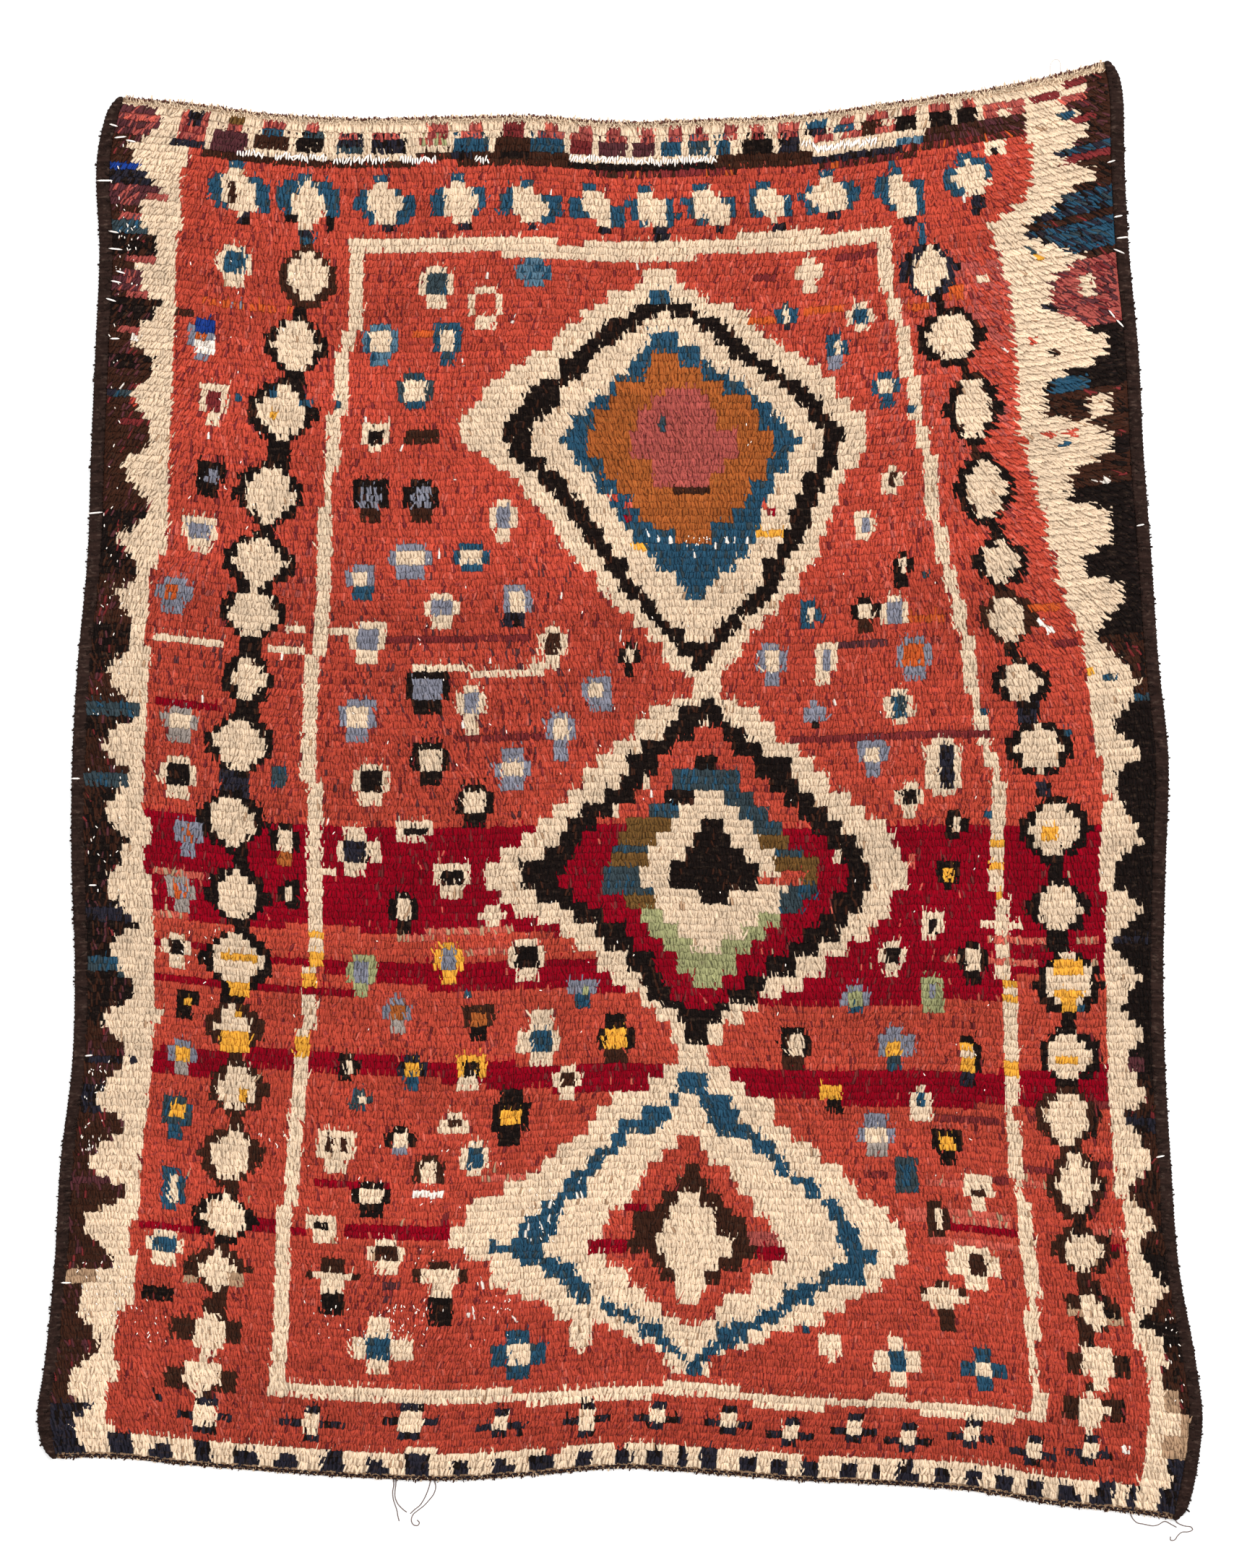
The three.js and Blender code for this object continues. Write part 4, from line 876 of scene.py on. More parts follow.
class RugColours(PropertyGroup):
    """Dyes of the wools, the cotton and the floor"""

    red: dye("Tomato red wool", 182, 71, 53)
    pink: dye("Pink wool", 196, 92, 76)
    rose: dye("Rose wool", 162, 78, 70)
    crimson: dye("Crimson wool", 136, 2, 24)
    maroon: dye("Maroon wool", 116, 42, 42)
    ivory: dye("Ivory wool", 226, 200, 171)
    white: dye("White wool", 240, 228, 216)
    tan: dye("Tan wool", 176, 142, 112)
    brown: dye("Dark brown wool", 58, 32, 22)
    black: dye("Black wool", 24, 16, 14)
    navy: dye("Navy wool", 38, 36, 46)
    plum: dye("Plum wool", 84, 44, 48)
    blue: dye("Blue wool", 39, 75, 97)
    teal: dye("Teal wool", 52, 64, 69)
    slate: dye("Slate wool", 126, 126, 138)
    grey: dye("Grey wool", 150, 138, 130)
    sage: dye("Sage wool", 155, 154, 109)
    ochre: dye("Ochre wool", 161, 87, 41)
    gold: dye("Gold wool", 226, 162, 58)
    rust: dye("Rust wool", 190, 84, 38)
    olive: dye("Olive wool", 104, 74, 38)
    sky: dye("Light blue wool", 84, 114, 132)
    royal: dye("Royal blue wool", 26, 54, 124)
    binding: dye("Brown overcasting wool", 40, 27, 23)
    weft: dye("Weft wool", 96, 52, 44)
    warp: dye("Warp wool", 214, 188, 158)
    cotton: dye("White cotton", 236, 226, 218)
    thread: dye("Worn thread", 122, 104, 98)
    floor: dye("Floor", 250, 250, 250)


# Wools that share a slot, how many lengths a slot's pile is cut into, and its stain's colour and share
WOOLS = {
    "wool_red": (("red", "pink", "rose"), 3, (0.15, 0.02, 0.03, 0.6)),
    "wool_crimson": (("crimson", "maroon"), 1, (0.1, 0.01, 0.02, 0.4)),
    "wool_ivory": (("ivory", "white", "tan"), 2, (0.55, 0.37, 0.22, 0.3)),
    "wool_dark": (("brown", "black", "navy", "plum"), 1, (0.05, 0.03, 0.02, 0.5)),
    "wool_blue": (("blue", "teal", "sky", "royal"), 1, (0.05, 0.07, 0.09, 0.3)),
    "wool_grey": (("slate", "grey", "sage"), 1, (0.2, 0.14, 0.1, 0.3)),
    "wool_ochre": (("ochre", "gold", "rust", "olive"), 1, (0.3, 0.12, 0.03, 0.3)),
}
YARNS = [name for name in RugColours.__annotations__ if any(name in wool[0] for wool in WOOLS.values())]


class RugSizes(PropertyGroup):
    """Sizes of the pile, the bindings and the picture"""

    pile_height: FloatProperty(
        name="Pile height", description="Height of the leaning pile over the floor",
        default=8.8 * MM, min=0.002, max=0.02, unit="LENGTH")
    collar_height: FloatProperty(
        name="Collar height", description="Height of the packed knots under the leaning strands",
        default=6.8 * MM, min=0.002, max=0.02, unit="LENGTH")
    strand_reach: FloatProperty(
        name="Strand reach", description="How far a strand leans from its root to its tip",
        default=14.5 * MM, min=0.004, max=0.03, unit="LENGTH")
    strand_width: FloatProperty(
        name="Strand width", description="Width of one of a knot's strands",
        default=5.2 * MM, min=0.001, max=0.01, unit="LENGTH")
    strands_per_knot: IntProperty(
        name="Strands per knot", description="Cut ends of yarn that stand out of each knot",
        default=3, min=1, max=3)
    wrap_pitch: FloatProperty(
        name="Overcasting pitch", description="Distance between the turns of the edge binding",
        default=4.4 * MM, min=0.001, max=0.02, unit="LENGTH")
    picture_height: FloatProperty(
        name="Picture height", description="Height of floor that the camera sees",
        default=1.84535, min=0.5, max=5, unit="LENGTH")


def colours():
    """The colours that a user can change"""
    return bpy.context.scene.rug_colours


def sizes():
    """The sizes that a user can change"""
    return bpy.context.scene.rug_sizes


def build_mesh(name, points, faces, **attributes):
    """A smooth mesh object from points in millimetres and arrays of faces, each of one corner count"""
    mesh = bpy.data.meshes.new(name)
    points = np.asarray(points * MM, np.float32)
    loops = np.concatenate([np.asarray(part).ravel() for part in faces]).astype(np.int32)
    counts = np.concatenate([np.full(len(part), np.asarray(part).shape[1]) for part in faces])
    mesh.vertices.add(len(points))
    mesh.vertices.foreach_set("co", points.ravel())
    mesh.loops.add(len(loops))
    mesh.loops.foreach_set("vertex_index", loops)
    mesh.polygons.add(len(counts))
    mesh.polygons.foreach_set("loop_start", np.concatenate([[0], np.cumsum(counts)[:-1]]).astype(np.int32))
    mesh.polygons.foreach_set("use_smooth", np.ones(len(counts), bool))
    for key, values in attributes.items():
        domain = "POINT" if len(values) == len(points) else "FACE"
        mesh.attributes.new(key, "FLOAT", domain).data.foreach_set("value", np.asarray(values, np.float32))
    flat_map(mesh, points, loops)
    mesh.update(calc_edges=True)
    if mesh.validate():
        raise RuntimeError(f"{name} has faces that are not sound")
    obj = bpy.data.objects.new(name, mesh)
    bpy.context.scene.collection.objects.link(obj)
    return obj


def flat_map(mesh, points, loops):
    """A map of the piece as it is seen from above"""
    low, high = points.min(0)[:2], points.max(0)[:2]
    spots = (points[:, :2] - low) / np.maximum(high - low, MM)
    mesh.uv_layers.new(name="OFBake").data.foreach_set("uv", spots[loops].ravel())


def dress(obj, material, slot):
    """Gives a piece its material, and lets it ride on the rug's only body; the slot is not used"""
    obj.data.materials.append(material)
    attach(obj, BODY)
    return obj


# Shader groups and materials

# Worn wool: the scale, detail and stretch of each noise, and how far it shifts the shade
WOOL_NOISES = {
    "fibre": (900, 3, (1, 0.25, 0.4), 0.7),
    "tuft": (260, 2, (1, 0.6, 1), 0.5),
    "patch": (38, 2, (1, 1, 1), 0.3),
    "stain": (240, 3, (0.5, 1, 1), 0),
}
STAIN_START = 0.54
STAIN_RISE = 7.0
WOOL_ROUGHNESS = 0.78
ROUGHNESS_SWING = 0.2
PLAIN_STAIN = (0.3, 0.2, 0.15, 0.1)


def new_group(name, inputs, outputs):
    """An empty shader node group with named sockets: (name, kind, default) in, (name, kind) out"""
    group = bpy.data.node_groups.new(name, "ShaderNodeTree")
    for label, kind, value in inputs:
        group.interface.new_socket(name=label, in_out="INPUT", socket_type=kind).default_value = value
    for label, kind in outputs:
        group.interface.new_socket(name=label, in_out="OUTPUT", socket_type=kind)
    return group, group.nodes.new("NodeGroupInput").outputs, group.nodes.new("NodeGroupOutput").inputs


def feed(tree, socket, value):
    """Links a socket to an input, or sets the input to a plain value"""
    if isinstance(value, bpy.types.NodeSocket):
        tree.links.new(value, socket)
    else:
        socket.default_value = value


def math_node(tree, operation, *values, clamp=False):
    """A Math node whose operands are sockets or numbers"""
    node = tree.nodes.new("ShaderNodeMath")
    node.operation = operation
    node.use_clamp = clamp
    for k, value in enumerate(values):
        feed(tree, node.inputs[k], value)
    return node.outputs[0]


def mix_colour(tree, kind, share, first, second):
    """A colour Mix node whose parts are sockets or plain values"""
    node = tree.nodes.new("ShaderNodeMix")
    node.data_type = "RGBA"
    node.blend_type = kind
    for key, value in ((0, share), (6, first), (7, second)):
        feed(tree, node.inputs[key], value)
    return node.outputs[2]


def noise(tree, scale, detail, stretch=(1, 1, 1)):
    """Noise over the piece's own coordinates"""
    coordinates = tree.nodes.new("ShaderNodeTexCoord")
    mapping = tree.nodes.new("ShaderNodeMapping")
    mapping.inputs["Scale"].default_value = stretch
    node = tree.nodes.new("ShaderNodeTexNoise")
    node.inputs["Scale"].default_value = scale
    node.inputs["Detail"].default_value = detail
    tree.links.new(coordinates.outputs["Object"], mapping.inputs["Vector"])
    tree.links.new(mapping.outputs["Vector"], node.inputs["Vector"])
    return node.outputs["Fac"]


def relief(tree, shader, height, strength, distance):
    """Bump from a height into the shader's normal"""
    node = tree.nodes.new("ShaderNodeBump")
    node.inputs["Strength"].default_value = strength
    node.inputs["Distance"].default_value = distance * MM
    tree.links.new(height, node.inputs["Height"])
    tree.links.new(node.outputs["Normal"], shader.inputs["Normal"])


def attribute(tree, name):
    """An attribute of the piece's points"""
    node = tree.nodes.new("ShaderNodeAttribute")
    node.attribute_name = name
    return node.outputs["Fac"]


def wool_group():
    """Worn wool: fibre streaks, a shade for each strand, stains, and roots darkened partly as painted shade
    where strands crowd, partly as deeper dye against faded tips
    """
    name = "Worn wool"
    if name in bpy.data.node_groups:
        return bpy.data.node_groups[name]
    number, colour = "NodeSocketFloat", "NodeSocketColor"
    group, given, out = new_group(
        name,
        [("Dye", colour, (1, 1, 1, 1)), ("Shade", number, 0.5), ("Along", number, 1.0),
         ("Variation", number, 0.5), ("Root dark", number, 0.5), ("Stain", colour, (0.3, 0.2, 0.15, 1)),
         ("Stain share", number, 0.2)],
        [("Colour", colour), ("Roughness", number), ("Height", number)])
    swing = math_node(group, "SUBTRACT", given["Shade"], 0.5)
    value = math_node(group, "MULTIPLY", swing, given["Variation"])
    noises = {}
    for key, (scale, detail, stretch, shift) in WOOL_NOISES.items():
        noises[key] = noise(group, scale, detail, stretch)
        if shift:
            part = math_node(group, "MULTIPLY", math_node(group, "SUBTRACT", noises[key], 0.5), shift)
            value = math_node(group, "ADD", value, part)
    value = math_node(group, "ADD", value, 1.0)
    # Painted shade in part: the wool darkens towards each strand's root, where it lies crowded under the row
    # above; the rest of that darkening stands for deeper dye against faded tips
    buried = math_node(group, "SUBTRACT", 1.0, given["Along"], clamp=True)
    buried = math_node(group, "MULTIPLY", buried, given["Root dark"])
    value = math_node(group, "MULTIPLY", value, math_node(group, "SUBTRACT", 1.0, buried))
    grey = group.nodes.new("ShaderNodeCombineColor")
    for key in ("Red", "Green", "Blue"):
        group.links.new(value, grey.inputs[key])
    dirty = math_node(group, "SUBTRACT", noises["stain"], STAIN_START)
    dirty = math_node(group, "MULTIPLY", dirty, STAIN_RISE, clamp=True)
    dirty = math_node(group, "MULTIPLY", dirty, given["Stain share"])
    stained = mix_colour(group, "MIX", dirty, given["Dye"], given["Stain"])
    feed(group, out["Colour"], mix_colour(group, "MULTIPLY", 1.0, stained, grey.outputs["Color"]))
    rough = math_node(group, "MULTIPLY_ADD", noises["fibre"], ROUGHNESS_SWING, WOOL_ROUGHNESS)
    feed(group, out["Roughness"], rough)
    feed(group, out["Height"], math_node(group, "ADD", noises["fibre"], noises["tuft"]))
    return group


def new_material(name):
    """A material with a Principled shader that carries wool's sheen"""
    material = bpy.data.materials.new(name)
    material.use_nodes = True
    shader = material.node_tree.nodes["Principled BSDF"]
    shader.inputs["Specular IOR Level"].default_value = 0.04
    shader.inputs["Sheen Weight"].default_value = 0.01
    shader.inputs["Sheen Roughness"].default_value = 0.5
    return material, material.node_tree, shader


def dye_ramp(tree, names):
    """The dye of each strand, picked by its number out of the wools that share the piece"""
    ramp = tree.nodes.new("ShaderNodeValToRGB")
    ramp.color_ramp.interpolation = "CONSTANT"
    stops = ramp.color_ramp.elements
    while len(stops) < len(names):
        stops.new(len(stops) / len(names))
    for k, name in enumerate(names):
        stops[k].position = k / len(names)
        stops[k].color = (*getattr(colours(), name), 1)
    tree.links.new(attribute(tree, "dye"), ramp.inputs["Fac"])
    return ramp.outputs["Color"]


def finish_wool(tree, shader, dye_colour, variation, root_dark, stain, bump):
    """Runs a dye through the worn wool group, with its partly painted root shade, into the shader; the stain
    is a colour and its share
    """
    wool = tree.nodes.new("ShaderNodeGroup")
    wool.node_tree = wool_group()
    values = {
        "Dye": dye_colour,
        "Shade": attribute(tree, "shade"),
        "Along": attribute(tree, "along"),
        "Variation": variation,
        "Root dark": root_dark,
        "Stain": (*stain[:3], 1),
        "Stain share": stain[3],
    }
    for label, value in values.items():
        feed(tree, wool.inputs[label], value)
    tree.links.new(wool.outputs["Colour"], shader.inputs["Base Color"])
    tree.links.new(wool.outputs["Roughness"], shader.inputs["Roughness"])
    relief(tree, shader, wool.outputs["Height"], bump, 0.6)


def pile_material(slot, names):
    """Pile wool of one slot"""
    label = slot.replace("_", " ").capitalize()
    if label in bpy.data.materials:
        return bpy.data.materials[label]
    material, tree, shader = new_material(label)
    variation = 0.36 if slot == "wool_ivory" else 0.5
    # Root shade of 0.35: strands darken towards their roots, partly painted shade where they crowd under the
    # row above, partly deeper dye against faded tips
    finish_wool(tree, shader, dye_ramp(tree, names), variation, 0.35, WOOLS[slot][2], 0.5)
    return material


def plain_wool(label, colour, variation=0.4, root_dark=0.3, bump=0.5):
    """Wool or cotton of one colour"""
    if label in bpy.data.materials:
        return bpy.data.materials[label]
    material, tree, shader = new_material(label)
    finish_wool(tree, shader, (*colour, 1), variation, root_dark, PLAIN_STAIN, bump)
    return material


def thread_wool(label, colour):
    """Twisted thread, with pale and dark fibres along it"""
    if label in bpy.data.materials:
        return bpy.data.materials[label]
    material, tree, shader = new_material(label)
    twist = noise(tree, 900, 3, (1, 0.5, 1))
    dark = [part * 0.45 for part in colour]
    feed(tree, shader.inputs["Base Color"], mix_colour(tree, "MIX", twist, (*dark, 1), (*colour, 1)))
    feed(tree, shader.inputs["Roughness"], math_node(tree, "MULTIPLY", twist, 1.5))
    relief(tree, shader, twist, 0.6, 0.3)
    return material


# The camera

CAMERA_LENS = 100
CAMERA_SENSOR = 36
CAMERA_X = -3.4
CAMERA_Y = 8.1


class RUG_OT_camera(Operator):
    """Puts the camera straight above the rug"""

    bl_idname = "rug.camera"
    bl_label = "Camera"

    def execute(self, context):
        data = bpy.data.cameras.new("Camera")
        data.sensor_width = CAMERA_SENSOR
        data.lens = CAMERA_LENS
        camera = bpy.data.objects.new("Camera", data)
        context.scene.collection.objects.link(camera)
        distance = sizes().picture_height * CAMERA_LENS / CAMERA_SENSOR
        camera.location = (CAMERA_X * MM, CAMERA_Y * MM, distance)
        context.scene.camera = camera
        return {"FINISHED"}


# Loose threads, each from where it leaves the rug to its end, in millimetres
THREADS = {
    "thread_bottom_tail": table("x y z", """
        -266.5 -810.1 1.4 | -266.1 -817 0.8 | -267.3 -825 0.7 | -266.6 -833.4 0.7 | -264.3 -840.5 0.7 |
        -262.2 -847 0.7 | -261.2 -853 0.7 | -259.6 -859.4 0.7"""),
    "thread_bottom_link": table("x y z", """
        -263.3 -810.2 1.4 | -263.6 -817 0.8 | -264.6 -825.5 0.7 | -264 -832.5 0.7 | -260.8 -839.5 0.7 |
        -255.4 -845.2 0.7 | -250.6 -848.8 0.7"""),
    "thread_bottom_curl": table("x y z", """
        -218.6 -811.3 1.4 | -216.6 -818.6 0.7 | -218.8 -827 0.7 | -224.6 -834.7 0.7 | -230.4 -841 0.7 |
        -237 -846.2 0.7 | -243 -851.2 0.7 | -245.4 -857.7 0.7 | -243.2 -863.2 0.7 | -238.4 -864.6 0.7 |
        -235.8 -861.2 0.7 | -238.6 -857.8 0.7"""),
    "thread_bottom_twin": table("x y z", """
        -222.6 -811.5 1.4 | -224.8 -820 0.7 | -228 -828.4 0.7 | -231.6 -835.4 0.7 | -235.8 -841.2 0.7 |
        -241.4 -845.6 0.7 | -246.6 -850.6 0.7"""),
    "thread_bottom_right": table("x y z", """
        600.5 -850.3 1.4 | 603.2 -856.2 0.8 | 608.5 -861.2 0.7 | 616.3 -862.8 0.7 | 626.5 -864.8 0.7 |
        633.5 -863.4 0.7 | 640.9 -859.6 0.7 | 648.6 -863.2 0.7 | 655 -866.6 0.7"""),
    "thread_corner_curl": table("x y z", """
        653.2 -857.7 1.8 | 656.2 -861.6 0.8 | 664 -864.9 0.7 | 671.4 -865.9 0.7 | 673.6 -869.6 0.7 |
        668.4 -871.9 0.7 | 661.3 -872.2 0.7 | 656.2 -876.4 0.7 | 652.8 -881.2 0.7 | 647.9 -881.6 0.7 |
        647.6 -877.4 0.7"""),
    "thread_top_loop": table("x y z", """
        506.4 841.5 1.4 | 506.2 848 0.8 | 506.8 854.4 0.7 | 509.4 859.4 0.7 | 514.2 861 0.7 |
        517.8 857.6 0.7 | 518.2 851.2 0.8 | 519.6 844.4 1.4"""),
}
THREAD_DIAMETER = 1.2 * MM
THREAD_STEPS = 4



def smooth_route(rows):
    """A smooth route through a thread's points, in metres"""
    points = np.array([(p.x, p.y, p.z) for p in rows]) * MM
    ends = [2 * points[0] - points[1], *points, 2 * points[-1] - points[-2]]
    route = []
    for a, b, c, d in zip(ends, ends[1:], ends[2:], ends[3:]):
        for step in range(THREAD_STEPS):
            t = step / THREAD_STEPS
            route.append(0.5 * (2 * b + (c - a) * t + (2 * a - 5 * b + 4 * c - d) * t ** 2
                                + (3 * b - a - 3 * c + d) * t ** 3))
    return np.array([*route, points[-1]])


def thread_curve(name, route):
    """A round thread along a route"""
    data = bpy.data.curves.new(name, "CURVE")
    data.dimensions = "3D"
    data.bevel_depth = THREAD_DIAMETER / 2
    data.bevel_resolution = 2
    data.use_fill_caps = True
    spline = data.splines.new("POLY")
    spline.points.add(len(route) - 1)
    for point, place in zip(spline.points, route):
        point.co = (*place, 1)
    piece = bpy.data.objects.new(f"{name}_yarn", data)
    bpy.context.scene.collection.objects.link(piece)
    return piece


class RUG_OT_threads(Operator):
    """Lays the loose threads that hang out of the worn ends"""

    bl_idname = "rug.threads"
    bl_label = "Loose threads"

    def execute(self, context):
        for name, rows in THREADS.items():
            route = smooth_route(rows)
            piece = thread_curve(name, route)
            if name == "thread_top_loop":
                dress(piece, thread_wool("Cotton thread", colours().cotton), "cotton_white")
            else:
                dress(piece, thread_wool("Worn thread", colours().thread), "thread_grey")
            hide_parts(name)
        return {"FINISHED"}


# The foundation: warps and wefts, with the backs of the knots on its underside

class RUG_OT_foundation(Operator):
    """Weaves the foundation, thick with the knots' collars above and their backs below"""

    bl_idname = "rug.foundation"
    bl_label = "Foundation"

    WEB_TOP = 2.7
    COLLAR_SPREAD = 0.3
    BACK_SPREAD = 0.35
    EDGES = table("row rise", "-1 0 | 0 0.2 | 1 0.8 | 2 1 | 188 1 | 189 0.85 | 190 0.25 | 191 0")

    def execute(self, context):
        rng = np.random.default_rng(5)
        knotted = TOP_WEB + np.arange(ROWS + 1) * (RUG_LENGTH - TOP_WEB - BOTTOM_WEB) / ROWS
        share = np.concatenate([[0], knotted / RUG_LENGTH, [1]])
        lines, across = len(share), COLUMNS + 1
        col, row = np.meshgrid(np.arange(across), np.arange(-1, ROWS + 2))
        x, y = plan(*np.meshgrid(np.arange(across) / COLUMNS, share))
        collar = sizes().collar_height / MM + pile_rise(x, y, col, row)
        collar = collar + rng.uniform(-self.COLLAR_SPREAD, self.COLLAR_SPREAD, x.shape)
        top = self.WEB_TOP + read(self.EDGES, "row", "rise", row) * (collar - self.WEB_TOP)
        under = np.stack([x, y, rng.uniform(0, self.BACK_SPREAD, x.shape)], -1).reshape(-1, 3)
        over = np.stack([x, y, top], -1).reshape(-1, 3)
        below = np.arange(lines * across).reshape(lines, across)
        above = below + lines * across
        backs = np.stack([below[:-1, :-1], below[:-1, 1:], below[1:, 1:], below[1:, :-1]], -1)
        collars = np.stack([above[:-1, :-1], above[1:, :-1], above[1:, 1:], above[:-1, 1:]], -1)
        rim = np.concatenate([below[0, :-1], below[:-1, -1], below[-1, ::-1][:-1], below[::-1, 0][:-1]])
        after = np.roll(rim, -1)
        sides = np.stack([after, rim, rim + lines * across, after + lines * across], -1)
        plain = YARNS.index("tan")
        yarns = np.full((lines - 1, COLUMNS), plain)
        yarns[1:-1] = weave_chart()
        tone = np.concatenate([yarns.ravel(), yarns.ravel(), np.full(len(sides), plain)])
        both = len(under) * 2
        # Painted shade: along is 0.45 on every face, so the wool's root shade darkens the collars seen in
        # the gaps between strands, and the backs and sides as well
        piece = build_mesh(
            "rug_foundation", np.concatenate([under, over]),
            [backs.reshape(-1, 4), collars.reshape(-1, 4), sides],
            dye=(tone + 0.5) / len(YARNS), shade=0.42 + 0.3 * rng.uniform(-1, 1, both),
            along=np.full(both, 0.45))
        material, tree, shader = new_material("Knotted wool")
        finish_wool(tree, shader, dye_ramp(tree, YARNS), 0.5, 0.35, (0.2, 0.1, 0.08, 0.15), 0.6)
        dress(piece, material, "wool_red")
        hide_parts("rug_body")
        return {"FINISHED"}


# The pile

# Where the pile has been combed aside: towards which side, from where, over how far, and by what angle
COMBED = table("side from_x wide from_y high turn", "1 330 200 -40 420 1.25 | -1 420 150 120 420 -0.75")
# Strand rings: where along the strand, how high, how wide, how thick and how tilted each lies, and its mask
# for the root darkening, full at 0 and none at 1, partly painted shade and partly deeper dye
STRAND_RINGS = table("along rise wide thick pitch mask", "0 0 1 2.4 0.2 0 | 1 1 0.7 1.5 0 1")
GROUND_YARNS = ("red", "pink", "rose", "crimson", "maroon")
# How unevenly strands stand: in columns, rows, radians, shares of reach and width, and millimetres of height
COLUMN_SPREAD, ROW_SPREAD, ANGLE_SPREAD = 0.09, 0.1, 0.24
REACH_SPREAD, WIDTH_SPREAD, HEIGHT_SPREAD, HEIGHT_DROP = 0.05, 0.1, 0.35, -0.4
# The height of a strand's foot, its spread, and the lower feet of the first rows
FOOT_HEIGHT, FOOT_SPREAD, FIRST_FEET = 5.8, 0.25, 2.6
FIRST_ROWS = 2.5
# The furthest reach of the first rows: at the edge, and how much more for each row
EDGE_REACH, ROW_REACH = 3, 8.6
# How much of a strand's shade comes from its row, patch, knot, own wool and short streaks
MIDDLE_SHADE, ROW_SHADE, PATCH_SHADE, KNOT_SHADE, OWN_SHADE, STREAK_SHADE = 0.5, 0.12, 0.16, 0.26, 0.15, 0.2


def lean_angle(x, y, col, row):
    """How far the pile turns from straight down the rug, towards +X, in radians"""
    turn = 0.2 * lattice(col, row, 22, 31) + 0.1 * lattice(col, row, 6, 32)
    for patch in COMBED:
        across = np.clip((x * patch.side - patch.from_x) / patch.wide, 0, 1)
        turn = turn + patch.turn * eased(across * np.clip((y - patch.from_y) / patch.high, 0, 1))
    return turn


def strand_mesh(name, root, direction, reach, width, height, foot, dye_number, shade):
    """Leaning strands, each a three-sided wedge, closed at both ends"""
    count = len(root)
    side = np.stack([direction[:, 1], -direction[:, 0], np.zeros(count)], 1)
    ahead = np.concatenate([direction, np.zeros((count, 1))], 1)
    up = np.array([0, 0, 1.0])
    base = np.concatenate([root, foot[:, None]], 1)
    points = np.empty((count, 6, 3))
    for k, ring in enumerate(STRAND_RINGS):
        middle = base + ahead * (ring.along * reach)[:, None] + up * (ring.rise * (height - foot))[:, None]
        normal = np.cross(side, np.cos(ring.pitch) * ahead + np.sin(ring.pitch) * up) * ring.thick
        half = side * (ring.wide * width / 2)[:, None]
        points[:, 3 * k] = middle - half - normal / 3
        points[:, 3 * k + 1] = middle + half - normal / 3
        points[:, 3 * k + 2] = middle + normal * 0.6
    number = np.arange(count)[:, None] * 6
    quads = [number + np.array(corners) for corners in ((0, 3, 4, 1), (1, 4, 5, 2), (2, 5, 3, 0))]
    caps = [number + np.array((0, 1, 2)), number + np.array((3, 5, 4))]
    return build_mesh(
        name, points.reshape(-1, 3), [np.concatenate(quads), np.concatenate(caps)],
        dye=np.repeat(dye_number, 6), shade=np.repeat(shade, 6),
        along=np.tile(np.repeat(column(STRAND_RINGS, "mask"), 3), count))


def knot_strands(rng):
    """Every strand with its column, row and yarn, from the chart and its flecks"""
    per_knot = sizes().strands_per_knot
    rows, cols = np.mgrid[0:ROWS, 0:COLUMNS]
    s = SimpleNamespace()
    s.col = (cols[..., None] + (np.arange(per_knot) + 0.5) / per_knot).ravel()
    s.row = np.repeat(rows.ravel() + 1.0, per_knot)
    s.yarn = np.repeat(weave_chart().ravel(), per_knot)
    s.knot_shade = np.repeat(rng.uniform(0, 1, ROWS * COLUMNS), per_knot)
    count = len(s.col)
    for fleck in FLECKS:
        here = is_yarn(s.yarn, fleck.ground) & (s.row > fleck.row) & (s.row < fleck.row_end)
        here = here & (s.col > fleck.col) & (s.col < fleck.col_end)
        s.yarn[here & (rng.uniform(0, 1, count) < fleck.share)] = YARNS.index(fleck.yarn)
    s.col = s.col + rng.normal(0, COLUMN_SPREAD, count)
    s.row = s.row + rng.normal(0, ROW_SPREAD, count)
    return s


def lean_strands(s, rng):
    """Gives each strand its root, direction and size, in millimetres"""
    count = len(s.col)
    col = np.clip(s.col, 0, COLUMNS)
    x, y = knot_place(col, np.clip(s.row, 0, ROWS + 0.4))
    angle = lean_angle(x, y, col, s.row) + rng.normal(0, ANGLE_SPREAD, count)
    s.direction = np.stack([np.sin(angle), -np.cos(angle)], 1)
    reach = sizes().strand_reach / MM * rng.normal(1, REACH_SPREAD, count)
    s.reach = np.minimum(reach, EDGE_REACH + ROW_REACH * s.row)
    s.width = sizes().strand_width / MM * rng.normal(1, WIDTH_SPREAD, count)
    s.height = sizes().pile_height / MM + pile_rise(x, y, s.col, s.row)
    s.height = s.height + rng.normal(HEIGHT_DROP, HEIGHT_SPREAD, count)
    s.foot = np.where(s.row < FIRST_ROWS, FIRST_FEET, FOOT_HEIGHT + rng.normal(0, FOOT_SPREAD, count))
    s.root = np.stack([x, y], 1) - s.direction * s.reach[:, None]


def shade_strands(s, rng):
    """Gives each strand its shade, by row, patch, knot and strand, by the dye lot where the ground lies, and
    by how far down the rug an ivory strand lies
    """
    col = np.clip(s.col, 0, COLUMNS)
    row_shade = rng.uniform(-1, 1, ROWS + 2)[np.clip(s.row.astype(int), 0, ROWS + 1)]
    shade = MIDDLE_SHADE + ROW_SHADE * row_shade + PATCH_SHADE * lattice(col, s.row, 9, 41)
    shade = shade + KNOT_SHADE * (s.knot_shade - 0.5) + rng.normal(0, OWN_SHADE, len(col))
    shade = shade + STREAK_SHADE * lattice(col, s.row * 9, 11, 43)
    for side, weight in (("left", 1 - s.col / COLUMNS), ("right", s.col / COLUMNS)):
        shade = shade + is_yarn(s.yarn, *GROUND_YARNS) * weight * read(SHADE_DRIFT, "row", side, s.row)
    # The ivory is only made darker in the upper half and lighter towards the bottom
    s.shade = shade + is_yarn(s.yarn, "ivory") * read(SHADE_DRIFT, "row", "ivory", s.row)


